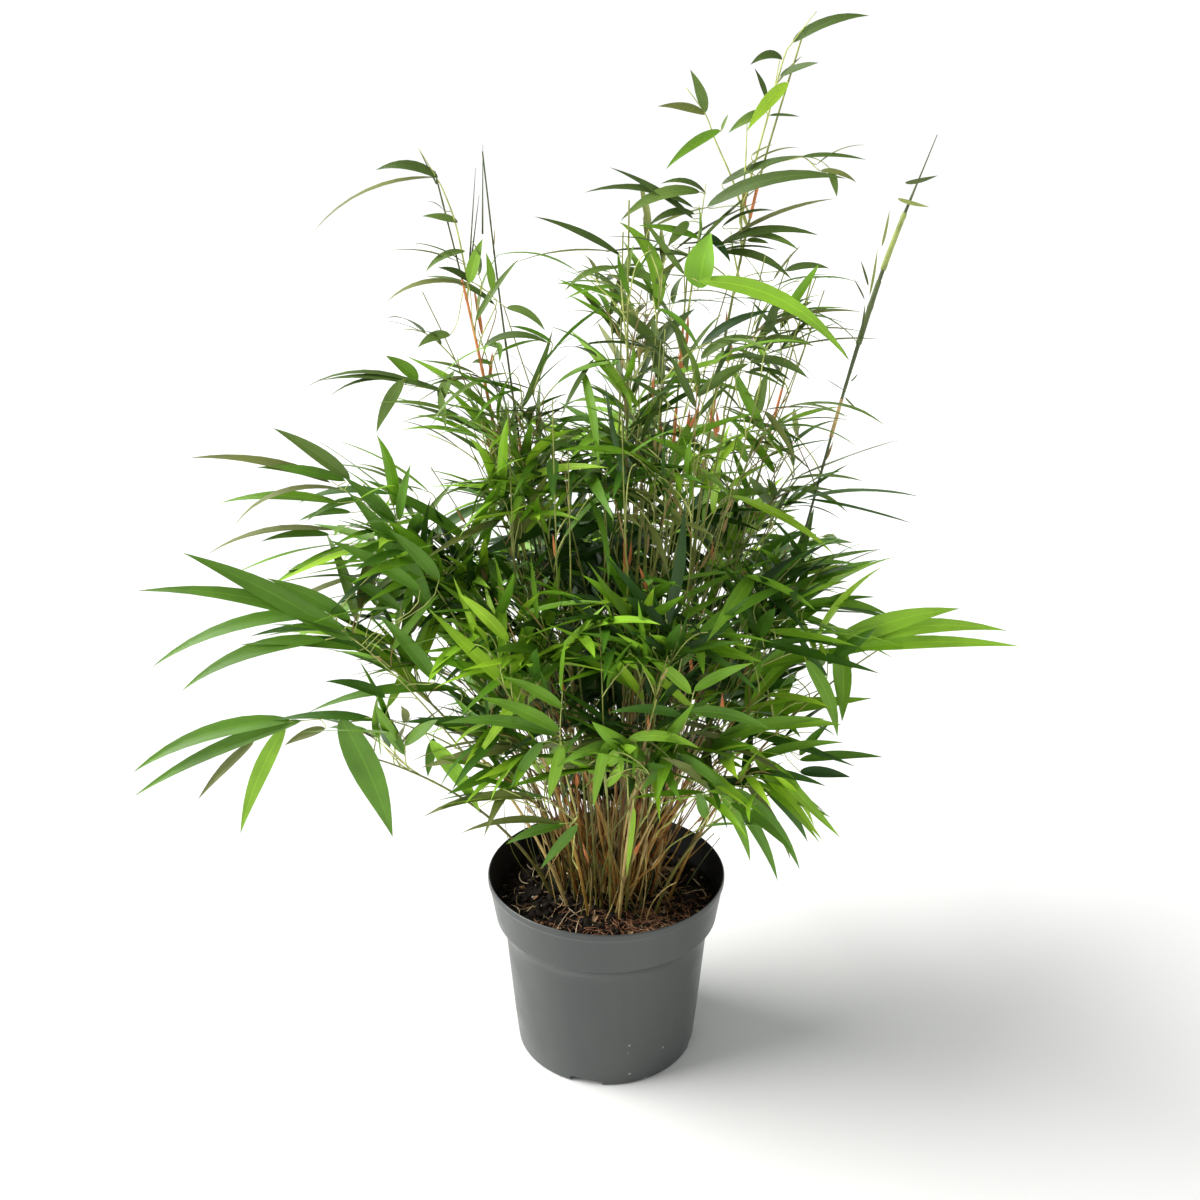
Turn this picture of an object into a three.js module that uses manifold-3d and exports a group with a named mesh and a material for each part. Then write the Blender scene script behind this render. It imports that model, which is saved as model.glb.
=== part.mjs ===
// A clump-forming bamboo in a round plastic nursery pot.
// Millimetres, +Z up. The origin is on the pot's axis, on the surface that the pot stands on.
// The front is -Y and the right is +X.

import * as THREE from "three";
import { mergeVertices } from "three/addons/utils/BufferGeometryUtils.js";
import Module from "manifold-3d";

const wasm = await Module();
wasm.setup();

// ---------------------------------------------------------------- driving dimensions

// The pot's body tapers out to its shoulder, steps out to the collar, and the collar flares to the rim.
const POT = {
  height: 152,
  rimRadius: 95,
  collarBottomRadius: 89,
  collarBottom: 115,
  shoulderRadius: 82,
  shoulder: 102,
  stepSwell: 1.5,
  baseRadius: 73,
  footChamfer: 1.5,
  wall: 1.8,
  floor: 3,
  lip: 1.2,
  sides: 32,
};
const NOTCH = { count: 4, width: 26, height: 5.5, depth: 9, firstAzimuth: -103 };
const SOIL_TOP = 128;
const GAP = 0.35; // between neighbours that touch
const CULM = { sides: 5, steps: 7, footRadius: 1.9, tipRadius: 0.7 };
const TUNNEL_GAP = 0.8; // foliage to the culm that runs through it
const MASS_GAP = 1.03; // one mass is cut by its neighbour grown by this factor
const LUMP = 0.14; // swells and hollows of a mass, as a share of its radius
const LEAF_POINT = { share: 0.3, reach: 0.4, dent: 0.14 }; // where leaf tips stand out of a mass

// Culms, each from a foot [x, y] on the soil to a tip [x, y, z]. By a third of its height a culm has
// gone the share "lean" of its way across, and by two thirds the share "reach". A droop above 0 makes
// it rise early and nod at the end. Thickness is a share of the usual radius.
const UPRIGHT = { lean: 0.33, reach: 0.66, droop: 0, thick: 1 };
const ARCHING = { lean: 0.2, reach: 0.55, droop: 0.06, thick: 0.9 };
const CULMS = {
  culm_top: { ...UPRIGHT, foot: [40, 8], tip: [127, 8, 764], lean: 0.3, reach: 0.22, thick: 1.1 },
  culm_left_tall: { ...UPRIGHT, foot: [-24, 2], tip: [-114, -10, 680], lean: 0.34, reach: 0.51 },
  culm_left_inner: { ...UPRIGHT, foot: [-12, 20], tip: [-84, 10, 693], lean: 0.39, reach: 0.78 },
  culm_centre: { ...UPRIGHT, foot: [12, -14], tip: [14, -22, 662] },
  culm_centre_right: { ...UPRIGHT, foot: [27, 14], tip: [56, 2, 632] },
  culm_bare_right: { ...UPRIGHT, foot: [54, 22], tip: [218, 0, 703], lean: 0.58, reach: 0.55 },
  culm_back_tall: { ...UPRIGHT, foot: [4, 30], tip: [12, 78, 640] },
  culm_right_upper: { ...UPRIGHT, foot: [40, 32], tip: [150, 55, 610] },
  culm_left_high: { ...ARCHING, foot: [-34, 16], tip: [-168, -40, 476] },
  culm_left_middle: { ...ARCHING, foot: [-30, -20], tip: [-184, -92, 394] },
  culm_left_low: { ...ARCHING, foot: [-42, -6], tip: [-180, -68, 286], droop: 0.12 },
  culm_right_middle: { ...ARCHING, foot: [50, -8], tip: [206, -22, 352], droop: 0.1 },
  culm_right_low: { ...ARCHING, foot: [38, -30], tip: [122, -82, 262], droop: 0.16 },
  culm_front: { ...ARCHING, foot: [10, -38], tip: [32, -126, 352] },
  culm_front_left: { ...ARCHING, foot: [-14, -32], tip: [-72, -122, 366] },
  culm_back: { ...ARCHING, foot: [14, 44], tip: [26, 150, 376] },
  culm_back_left: { ...ARCHING, foot: [-24, 38], tip: [-152, 112, 396] },
  culm_back_right: { ...ARCHING, foot: [42, 42], tip: [146, 130, 390] },
};

// Side shoots that leave a culm and carry leaves of their own.
const SHOOTS = {
  shoot_top_left: { from: [88, 11, 672], to: [60, 6, 712], sag: 5 },
  shoot_left_crest: { from: [-116, -14, 676], to: [-142, -18, 684], sag: -4 },
};

// Masses of leaves, each at a centre, with half its length, width and height. Heading turns the length
// to the left of +X and pitch lifts its far end, in degrees. Taper narrows the far end. Each has the
// seed of its own uneven surface, and the largest ones have finer facets.
const MASSES = {
  skirt_front: { at: [24, -92, 304], half: [64, 46, 38], seed: 7 },
  skirt_front_left: { at: [-70, -70, 290], half: [58, 42, 42], heading: 40, seed: 11 },
  skirt_left: { at: [-98, 14, 296], half: [50, 54, 46], seed: 13 },
  skirt_back_left: { at: [-60, 88, 286], half: [58, 46, 46], heading: -45, seed: 17 },
  skirt_back: { at: [34, 112, 290], half: [58, 46, 48], seed: 19 },
  skirt_back_right: { at: [112, 70, 288], half: [54, 46, 44], heading: 45, seed: 23 },
  skirt_right: { at: [134, -14, 300], half: [48, 50, 46], seed: 29 },
  skirt_front_right: { at: [92, -82, 288], half: [46, 42, 40], heading: -40, seed: 31 },
  belt_front: { at: [30, -80, 388], half: [72, 58, 56], seed: 37, fine: true },
  belt_front_left: { at: [-64, -86, 376], half: [54, 46, 54], heading: 25, seed: 41, fine: true },
  belt_left: { at: [-116, -2, 392], half: [56, 62, 54], seed: 43, fine: true },
  belt_back: { at: [-24, 98, 384], half: [84, 56, 54], seed: 47, fine: true },
  belt_back_right: { at: [92, 92, 392], half: [60, 54, 56], seed: 53 },
  belt_right: { at: [140, -18, 392], half: [54, 60, 54], seed: 59, fine: true },
  shoulder_front: { at: [14, -44, 490], half: [72, 50, 54], seed: 61, fine: true },
  shoulder_left: { at: [-86, -10, 490], half: [52, 54, 48], seed: 67 },
  shoulder_back: { at: [4, 72, 482], half: [80, 50, 50], seed: 71, fine: true },
  shoulder_right: { at: [114, 16, 486], half: [60, 56, 54], seed: 73 },
  upper_left: { at: [-98, -14, 584], half: [52, 40, 60], seed: 79 },
  upper_centre: { at: [6, -24, 592], half: [58, 40, 60], seed: 83 },
  upper_right: { at: [112, 14, 598], half: [58, 44, 64], seed: 89 },
  upper_back: { at: [26, 88, 580], half: [64, 40, 56], seed: 97 },
  upper_front: { at: [76, -66, 556], half: [46, 32, 42], seed: 99 },
  crest_right: { at: [118, 2, 690], half: [58, 30, 24], heading: 2, pitch: 8, seed: 101 },
  crest_top: { at: [132, 4, 747], half: [52, 14, 20], pitch: 40, seed: 103 },
  crest_top_left: { at: [44, 4, 716], half: [30, 14, 24], heading: 180, seed: 107 },
  crest_left: { at: [-154, -20, 668], half: [50, 12, 14], heading: 186, pitch: -26, taper: 0.4, seed: 109 },
  spray_left_low: { at: [-241, -78, 280], half: [106, 38, 38], heading: 184, taper: 0.4, seed: 113 },
  spray_left_middle: { at: [-220, -106, 402], half: [82, 36, 42], heading: 186, taper: 0.4, seed: 127 },
  spray_left_high: { at: [-208, -40, 474], half: [78, 36, 34], heading: 178, pitch: 8, taper: 0.4, seed: 131 },
  spray_left_top: { at: [-150, -6, 536], half: [50, 24, 22], heading: 180, pitch: 6, taper: 0.3, seed: 137 },
  spray_right: { at: [234, -26, 348], half: [72, 30, 28], heading: -3, taper: 0.5, seed: 139 },
  spray_right_low: { at: [134, -96, 252], half: [52, 28, 22], heading: -34, pitch: -26, taper: 0.4, seed: 149 },
  spray_back_left: { at: [-186, 138, 384], half: [74, 36, 26], heading: 145, pitch: 4, taper: 0.4, seed: 151 },
  spray_back_right: { at: [176, 162, 376], half: [72, 36, 26], heading: 42, pitch: 2, taper: 0.4, seed: 157 },
  spray_back: { at: [24, 196, 346], half: [70, 38, 26], heading: 92, pitch: -6, taper: 0.4, seed: 163 },
};

const FINISH = {
  pot: { color: 0x5a6062, roughness: 0.5, metalness: 0 },
  soil: { color: 0x33241a, roughness: 0.95, metalness: 0 },
  culm: { color: 0x7d7a35, roughness: 0.5, metalness: 0 },
  shoot: { color: 0x6f7f3a, roughness: 0.5, metalness: 0 },
  foliage: { color: 0x3f7a2a, roughness: 0.6, metalness: 0 },
};

// ---------------------------------------------------------------- solids and meshes

function closedGeometry(geometry) {
  geometry.deleteAttribute("normal");
  geometry.deleteAttribute("uv");
  return mergeVertices(geometry, 1e-4);
}

function solidFrom(geometry) {
  const closed = closedGeometry(geometry);
  return new wasm.Manifold(
    new wasm.Mesh({
      numProp: 3,
      vertProperties: new Float32Array(closed.attributes.position.array),
      triVerts: new Uint32Array(closed.index.array),
    }),
  );
}

function geometryFrom(solid) {
  const mesh = solid.getMesh();
  const geometry = new THREE.BufferGeometry();
  geometry.setAttribute("position", new THREE.BufferAttribute(mesh.vertProperties, 3));
  geometry.setIndex(new THREE.BufferAttribute(mesh.triVerts, 1));
  return geometry;
}

function largestBody(solid) {
  return solid.decompose().reduce((best, body) => (body.volume() > best.volume() ? body : best));
}

function namedMesh(name, geometry, finish) {
  const shown = geometry.index ? geometry.toNonIndexed() : geometry;
  shown.computeVertexNormals();
  const mesh = new THREE.Mesh(shown, new THREE.MeshStandardMaterial(finish));
  mesh.name = name;
  return mesh;
}

// A repeatable stream of numbers from 0 to 1.
function seededRandom(seed) {
  let state = seed * 2654435761;
  return () => {
    state = (Math.imul(state ^ (state >>> 15), 2246822519) + 0x9e3779b9) >>> 0;
    return state / 4294967296;
  };
}

// ---------------------------------------------------------------- pot and soil

// The curved step from the body up to the collar, moved in by an inset.
function potStep(inset) {
  const middleRadius = (POT.shoulderRadius + POT.collarBottomRadius) / 2 + POT.stepSwell;
  const middleHeight = (POT.shoulder + POT.collarBottom) / 2 - POT.stepSwell;
  return [
    new THREE.Vector2(POT.shoulderRadius - inset, POT.shoulder),
    new THREE.Vector2(middleRadius - inset, middleHeight),
    new THREE.Vector2(POT.collarBottomRadius - inset, POT.collarBottom),
  ];
}

function innerRadiusAt(height) {
  const share = (height - POT.collarBottom) / (POT.height - POT.collarBottom);
  return THREE.MathUtils.lerp(POT.collarBottomRadius, POT.rimRadius, share) - POT.wall;
}

function potGeometry() {
  const profile = [
    new THREE.Vector2(0, 0),
    new THREE.Vector2(POT.baseRadius - POT.footChamfer, 0),
    new THREE.Vector2(POT.baseRadius, POT.footChamfer),
    ...potStep(0),
    new THREE.Vector2(POT.rimRadius, POT.height - POT.lip),
    new THREE.Vector2(POT.rimRadius - POT.wall / 2, POT.height),
    new THREE.Vector2(POT.rimRadius - POT.wall, POT.height - POT.lip),
    ...potStep(POT.wall).reverse(),
    new THREE.Vector2(POT.baseRadius - POT.wall, POT.floor),
    new THREE.Vector2(0, POT.floor),
  ];
  return uprightLathe(profile);
}

// A lathe turns about +Y, so it is stood up on +Z.
function uprightLathe(profile) {
  const lathe = new THREE.LatheGeometry(profile, POT.sides);
  lathe.rotateX(Math.PI / 2);
  return lathe;
}

function drainNotch(index) {
  const azimuth = NOTCH.firstAzimuth + (index * 360) / NOTCH.count;
  const reach = NOTCH.depth + POT.wall;
  const notch = new THREE.BoxGeometry(reach * 2, NOTCH.width, NOTCH.height * 2);
  notch.translate(POT.baseRadius - NOTCH.depth + reach, 0, 0);
  notch.rotateZ(THREE.MathUtils.degToRad(azimuth));
  return notch;
}

function potMesh() {
  let solid = solidFrom(potGeometry());
  for (let index = 0; index < NOTCH.count; index += 1) {
    solid = solid.subtract(solidFrom(drainNotch(index)));
  }
  return namedMesh("pot", geometryFrom(solid), FINISH.pot);
}

function soilMesh() {
  const inset = POT.wall + GAP;
  const profile = [
    new THREE.Vector2(0, POT.floor + GAP),
    new THREE.Vector2(POT.baseRadius - inset, POT.floor + GAP),
    ...potStep(inset),
    new THREE.Vector2(innerRadiusAt(SOIL_TOP) - GAP, SOIL_TOP),
    new THREE.Vector2(0, SOIL_TOP),
  ];
  return namedMesh("soil", uprightLathe(profile), FINISH.soil);
}

// ---------------------------------------------------------------- culms and shoots

function culmCurve({ foot, tip, lean, reach, droop }) {
  const base = new THREE.Vector3(foot[0], foot[1], SOIL_TOP + GAP);
  const end = new THREE.Vector3(...tip);
  const run = end.clone().sub(base);
  const control = (across, up) =>
    new THREE.Vector3(base.x + run.x * across, base.y + run.y * across, base.z + run.z * up);
  return new THREE.CubicBezierCurve3(
    base,
    control(lean, 1 / 3 + droop),
    control(reach, 2 / 3 + droop),
    end,
  );
}

function shootCurve({ from, to, sag }) {
  const start = new THREE.Vector3(...from);
  const end = new THREE.Vector3(...to);
  const middle = start.clone().lerp(end, 0.5);
  middle.z -= sag;
  return new THREE.QuadraticBezierCurve3(start, middle, end);
}

// A tapering limb: a cylinder bent along a curve. Its foot is cut flat and level when it stands on soil.
function limbGeometry(curve, footRadius, tipRadius, steps, levelFoot) {
  const limb = new THREE.CylinderGeometry(tipRadius, footRadius, 1, CULM.sides, steps);
  const frames = curve.computeFrenetFrames(steps, false);
  const points = curve.getSpacedPoints(steps);
  const position = limb.attributes.position;
  const vertex = new THREE.Vector3();
  for (let index = 0; index < position.count; index += 1) {
    const step = Math.round((position.getY(index) + 0.5) * steps);
    vertex.copy(points[step]);
    vertex.addScaledVector(frames.binormals[step], position.getX(index));
    vertex.addScaledVector(frames.normals[step], position.getZ(index));
    if (levelFoot && step === 0) {
      vertex.z = points[0].z;
    }
    position.setXYZ(index, vertex.x, vertex.y, vertex.z);
  }
  return limb;
}

function culmGeometry(culm, grow) {
  const foot = CULM.footRadius * culm.thick + grow;
  const tip = CULM.tipRadius * culm.thick + grow;
  return limbGeometry(culmCurve(culm), foot, tip, CULM.steps, true);
}

function shootGeometry(shoot, grow) {
  return limbGeometry(shootCurve(shoot), CULM.tipRadius + grow, CULM.tipRadius * 0.8 + grow, 3, false);
}

// ---------------------------------------------------------------- foliage

// An uneven ball: swells and hollows, leaf points that stand out, and a taper towards its far end.
// It is fitted to its half sizes before it is turned and placed.
function massGeometry({ at, half, heading = 0, pitch = 0, taper = 0, seed, fine = false }, grow) {
  const ball = closedGeometry(new THREE.IcosahedronGeometry(1, fine ? 2 : 1));
  const random = seededRandom(seed);
  const phase = [random(), random(), random()].map((share) => share * 2 * Math.PI);
  const position = ball.attributes.position;
  const point = new THREE.Vector3();
  for (let index = 0; index < position.count; index += 1) {
    point.fromBufferAttribute(position, index);
    const wave =
      Math.sin(3.2 * point.x + phase[0]) +
      Math.sin(3.7 * point.y + phase[1]) +
      Math.sin(4.1 * point.z + phase[2]);
    const tipped = random() < LEAF_POINT.share;
    const reach = tipped ? LEAF_POINT.reach * random() : -LEAF_POINT.dent * random();
    const narrow = 1 - (taper * (point.x + 1)) / 2;
    point.multiplyScalar(1 + (LUMP * wave) / 3 + reach);
    position.setXYZ(index, point.x, point.y * narrow, point.z * narrow);
  }
  ball.computeBoundingBox();
  const middle = ball.boundingBox.getCenter(new THREE.Vector3());
  const size = ball.boundingBox.getSize(new THREE.Vector3());
  ball.translate(-middle.x, -middle.y, -middle.z);
  ball.scale(
    (2 * half[0] * grow) / size.x,
    (2 * half[1] * grow) / size.y,
    (2 * half[2] * grow) / size.z,
  );
  ball.rotateY(THREE.MathUtils.degToRad(-pitch));
  ball.rotateZ(THREE.MathUtils.degToRad(heading));
  ball.translate(...at);
  return ball;
}

function boxesMeet(first, second) {
  const a = first.boundingBox();
  const b = second.boundingBox();
  return [0, 1, 2].every((axis) => a.min[axis] <= b.max[axis] && b.min[axis] <= a.max[axis]);
}

function cutBy(solid, cutters) {
  return cutters
    .filter((cutter) => boxesMeet(solid, cutter))
    .reduce((rest, cutter) => rest.subtract(cutter), solid);
}

function foliageMeshes() {
  const tunnels = [
    ...Object.values(CULMS).map((culm) => solidFrom(culmGeometry(culm, TUNNEL_GAP))),
    ...Object.values(SHOOTS).map((shoot) => solidFrom(shootGeometry(shoot, TUNNEL_GAP))),
  ];
  const earlier = [];
  return Object.entries(MASSES).map(([name, mass]) => {
    const whole = solidFrom(massGeometry(mass, 1));
    const cut = largestBody(cutBy(whole, [...earlier, ...tunnels]));
    earlier.push(solidFrom(massGeometry(mass, MASS_GAP)));
    return namedMesh(name, geometryFrom(cut), FINISH.foliage);
  });
}

// ---------------------------------------------------------------- the plant in its pot

function plantedPot() {
  const container = new THREE.Group();
  container.add(potMesh(), soilMesh());

  const culms = new THREE.Group();
  for (const [name, culm] of Object.entries(CULMS)) {
    culms.add(namedMesh(name, closedGeometry(culmGeometry(culm, 0)), FINISH.culm));
  }
  for (const [name, shoot] of Object.entries(SHOOTS)) {
    culms.add(namedMesh(name, closedGeometry(shootGeometry(shoot, 0)), FINISH.shoot));
  }

  const foliage = new THREE.Group();
  foliage.add(...foliageMeshes());

  const whole = new THREE.Group();
  whole.add(container, culms, foliage);
  return whole;
}

export default plantedPot();
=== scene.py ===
"""A potted clump-forming bamboo: the looks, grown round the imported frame. Metres, +Z up, front -Y."""

import math
import random

import bmesh
import bpy
import numpy as np
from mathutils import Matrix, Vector
from mathutils.bvhtree import BVHTree
from numpy.linalg import norm


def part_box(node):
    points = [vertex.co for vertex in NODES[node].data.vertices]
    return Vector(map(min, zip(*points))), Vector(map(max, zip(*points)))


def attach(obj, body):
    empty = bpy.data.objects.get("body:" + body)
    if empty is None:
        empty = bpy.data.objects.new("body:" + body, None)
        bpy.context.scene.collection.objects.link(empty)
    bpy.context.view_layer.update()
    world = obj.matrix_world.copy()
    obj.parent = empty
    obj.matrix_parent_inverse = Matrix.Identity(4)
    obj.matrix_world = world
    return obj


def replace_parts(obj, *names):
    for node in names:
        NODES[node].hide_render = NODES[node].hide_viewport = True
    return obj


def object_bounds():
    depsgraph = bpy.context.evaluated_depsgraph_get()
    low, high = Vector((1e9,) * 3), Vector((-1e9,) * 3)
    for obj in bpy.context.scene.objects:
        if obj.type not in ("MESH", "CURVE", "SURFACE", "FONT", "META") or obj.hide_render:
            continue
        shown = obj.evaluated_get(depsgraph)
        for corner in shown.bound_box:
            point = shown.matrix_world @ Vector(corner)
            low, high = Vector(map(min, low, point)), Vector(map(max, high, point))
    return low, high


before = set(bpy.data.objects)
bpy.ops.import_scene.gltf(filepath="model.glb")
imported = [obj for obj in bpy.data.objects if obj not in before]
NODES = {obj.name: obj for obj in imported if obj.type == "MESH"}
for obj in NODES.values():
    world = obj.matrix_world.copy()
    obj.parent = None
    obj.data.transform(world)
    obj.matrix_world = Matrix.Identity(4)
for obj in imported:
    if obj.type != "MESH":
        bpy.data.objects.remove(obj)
CAD_BOX = [list(corner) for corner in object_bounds()]

MM = 0.001
UP = np.array([0.0, 0.0, 1.0])
rng = np.random.default_rng(7)
random.seed(7)

# ---- reading the frame

CULM_NODES = sorted(name for name in NODES if name.startswith("culm_"))
SHOOT_NODES = sorted(name for name in NODES if name.startswith("shoot_"))
MASS_FAMILIES = ("skirt", "belt", "shoulder", "upper", "crest", "spray")
MASS_NODES = sorted(name for name in NODES if name.split("_")[0] in MASS_FAMILIES)
BOX_LOW, BOX_HIGH = (np.array(corner) for corner in CAD_BOX)
PAST_BOX = 6 * MM  # how far a leaf's tip may reach past the frame
POT_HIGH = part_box("pot")[1]
SOIL_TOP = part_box("soil")[1].z
RING_GAP = 7 * MM  # points of a stem further apart than this are on different rings


def node_points(name):
    """The points of a node's mesh, each once."""
    mesh = NODES[name].data
    points = np.empty(len(mesh.vertices) * 3)
    mesh.vertices.foreach_get("co", points)
    return np.unique(points.reshape(-1, 3).round(6), axis=0)


def centre_line(name):
    """The middles and the radii of a tapering limb's rings, from its foot to its tip."""
    points = node_points(name)
    foot = points[points[:, 2].argmin()]
    far = points[norm(points - foot, axis=1).argmax()]
    along = (points - foot) @ (far - foot) / norm(far - foot)
    order = along.argsort()
    breaks = np.nonzero(np.diff(along[order]) > RING_GAP)[0] + 1
    rings = np.split(points[order], breaks)
    middles = np.array([ring.mean(axis=0) for ring in rings])
    radii = np.array([norm(ring - ring.mean(axis=0), axis=1).max() for ring in rings])
    return middles, radii


def smooth_path(points, count):
    """A Catmull-Rom curve through the points, at even steps of its own parameter."""
    padded = np.vstack([2 * points[0] - points[1], points, 2 * points[-1] - points[-2]])
    spans = len(points) - 1
    at = np.linspace(0, spans, count)
    span = np.minimum(at.astype(int), spans - 1)
    t = (at - span)[:, None]
    a, b, c, d = (padded[span + k] for k in range(4))
    return 0.5 * (
        2 * b + (c - a) * t + (2 * a - 5 * b + 4 * c - d) * t**2 + (3 * b - a - 3 * c + d) * t**3
    )


def bezier(start, first, second, end, count):
    t = np.linspace(0, 1, count)[:, None]
    rising, falling = 3 * t * (1 - t) ** 2 * first, 3 * t**2 * (1 - t) * second
    return (1 - t) ** 3 * start + rising + falling + t**3 * end


# ---- materials

def new_material(name, roughness, specular=0.5):
    material = bpy.data.materials.new(name)
    material.use_nodes = True
    shader = material.node_tree.nodes["Principled BSDF"]
    shader.inputs["Roughness"].default_value = roughness
    shader.inputs["Specular IOR Level"].default_value = specular
    return material, material.node_tree, shader


def noise_node(tree, scale, detail=4.0, roughness=0.55, coordinates=None):
    noise = tree.nodes.new("ShaderNodeTexNoise")
    noise.inputs["Scale"].default_value = scale
    noise.inputs["Detail"].default_value = detail
    noise.inputs["Roughness"].default_value = roughness
    if coordinates is None:
        coordinates = tree.nodes.new("ShaderNodeTexCoord").outputs["Object"]
    tree.links.new(coordinates, noise.inputs["Vector"])
    return noise.outputs["Fac"]


def ramp_node(tree, factor, stops):
    ramp = tree.nodes.new("ShaderNodeValToRGB")
    elements = ramp.color_ramp.elements
    while len(elements) < len(stops):
        elements.new(0.5)
    for element, (place, colour) in zip(elements, stops):
        element.position = place
        element.color = (*colour, 1.0)
    tree.links.new(factor, ramp.inputs["Fac"])
    return ramp.outputs["Color"]


def greys(*stops):
    """Stops for a ramp from black to white, each as its place and its level."""
    return [(place, (level, level, level)) for place, level in stops]


def mix_node(tree, share, under, over):
    """One colour laid over another by a share. Each is a socket or a plain colour."""
    mix = tree.nodes.new("ShaderNodeMix")
    mix.data_type = "RGBA"
    tree.links.new(share, mix.inputs["Factor"])
    for socket, value in (("A", under), ("B", over)):
        if isinstance(value, tuple):
            mix.inputs[socket].default_value = (*value, 1.0)
        else:
            tree.links.new(value, mix.inputs[socket])
    return mix.outputs["Result"]


def math_node(tree, operation, *values):
    node = tree.nodes.new("ShaderNodeMath")
    node.operation = operation
    for index, value in enumerate(values):
        tree.links.new(value, node.inputs[index])
    return node.outputs["Value"]


def axis_node(tree, vector, axis):
    """One coordinate of a vector."""
    split = tree.nodes.new("ShaderNodeSeparateXYZ")
    tree.links.new(vector, split.inputs["Vector"])
    return split.outputs[axis]


def bump(tree, shader, height, strength, distance):
    node = tree.nodes.new("ShaderNodeBump")
    node.inputs["Strength"].default_value = strength
    node.inputs["Distance"].default_value = distance
    tree.links.new(height, node.inputs["Height"])
    tree.links.new(node.outputs["Normal"], shader.inputs["Normal"])


def shade(colour, factor):
    return tuple(min(1.0, channel * factor) for channel in colour)


def varied_material(name, colour, roughness, scale, contrast=0.25, relief=0.0, specular=0.5):
    """One base colour that a fine noise lightens and darkens, with a light relief."""
    material, tree, shader = new_material(name, roughness, specular)
    noise = noise_node(tree, scale)
    stops = [(0.3, shade(colour, 1 - contrast)), (0.7, shade(colour, 1 + contrast))]
    tree.links.new(ramp_node(tree, noise, stops), shader.inputs["Base Color"])
    if relief:
        bump(tree, shader, noise_node(tree, scale * 2.5), 0.6, relief)
    return material


def leaf_material(name, colour, roughness=0.42):
    """A leaf's green, with its pale midrib, fine parallel veins and faint blotches."""
    material, tree, shader = new_material(name, roughness, 0.38)
    coordinates = tree.nodes.new("ShaderNodeUVMap")
    coordinates.uv_map = "leaf"
    veins = tree.nodes.new("ShaderNodeTexWave")
    veins.wave_type = "BANDS"
    veins.bands_direction = "X"
    veins.inputs["Scale"].default_value = 4.0
    veins.inputs["Distortion"].default_value = 0.4
    tree.links.new(coordinates.outputs["UV"], veins.inputs["Vector"])
    stops = [(0.25, shade(colour, 0.72)), (0.75, shade(colour, 1.25))]
    blade = ramp_node(tree, noise_node(tree, 26.0), stops)
    off_middle = math_node(tree, "ABSOLUTE", axis_node(tree, coordinates.outputs["UV"], "X"))
    midrib = ramp_node(tree, off_middle, greys((0.03, 0.4), (0.09, 0.0)))
    with_midrib = mix_node(tree, midrib, blade, shade(colour, 1.7))
    tree.links.new(with_midrib, shader.inputs["Base Color"])
    bump(tree, shader, veins.outputs["Fac"], 0.25, 0.15 * MM)
    return material


# ---- meshes from arrays

def mesh_object(name, points, faces, material, uv=None, smooth=True):
    """A piece of the plant from arrays of points and of three or four-cornered faces."""
    points = np.asarray(points, dtype=np.float32)
    faces = np.asarray(faces, dtype=np.int32)
    mesh = bpy.data.meshes.new(name)
    corners = faces.shape[1]
    mesh.vertices.add(len(points))
    mesh.vertices.foreach_set("co", points.ravel())
    mesh.loops.add(faces.size)
    mesh.loops.foreach_set("vertex_index", faces.ravel())
    mesh.polygons.add(len(faces))
    mesh.polygons.foreach_set("loop_start", np.arange(len(faces), dtype=np.int32) * corners)
    mesh.polygons.foreach_set("use_smooth", np.full(len(faces), smooth))
    if uv is not None:
        layer = mesh.uv_layers.new(name="leaf")
        layer.data.foreach_set("uv", np.asarray(uv, dtype=np.float32)[faces.ravel()].ravel())
    mesh.update(calc_edges=True)
    mesh.validate()
    mesh.materials.append(material)
    piece = bpy.data.objects.new(name, mesh)
    bpy.context.scene.collection.objects.link(piece)
    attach(piece, "root")
    return piece


def unit(vectors):
    return vectors / np.maximum(norm(vectors, axis=-1, keepdims=True), 1e-12)


def wall_quads(rows, sides):
    """The quads between closed rows of points that follow one another."""
    row = np.arange(rows - 1)[:, None] * sides
    corner = np.arange(sides)[None, :]
    after = (corner + 1) % sides
    quads = [row + corner, row + after, row + sides + after, row + sides + corner]
    return np.stack(quads, axis=-1).reshape(-1, 4)


def tube_mesh(path, radii, sides):
    """Points, quads and end triangles of a closed tube along a path."""
    tangent = unit(np.gradient(path, axis=0))
    across = np.cross(tangent[0], [0.31, 0.95, 0.05])
    sideways = np.empty_like(path)
    for step, direction in enumerate(tangent):
        across = unit(across - direction * (across @ direction))
        sideways[step] = across
    other = np.cross(tangent, sideways)
    angle = (np.arange(sides) * 2 * math.pi / sides)[None, :, None]
    ring = sideways[:, None, :] * np.cos(angle) + other[:, None, :] * np.sin(angle)
    body = path[:, None, :] + ring * np.asarray(radii)[:, None, None]
    points = np.vstack([body.reshape(-1, 3), path[:1], path[-1:]])
    steps = len(path)
    first, last = steps * sides, steps * sides + 1
    around = np.arange(sides)
    after = (around + 1) % sides
    top = (steps - 1) * sides
    foot_cap = np.stack([np.full(sides, first), after, around], axis=-1)
    tip_cap = np.stack([np.full(sides, last), top + around, top + after], axis=-1)
    return points, wall_quads(steps, sides), np.vstack([foot_cap, tip_cap])


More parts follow.
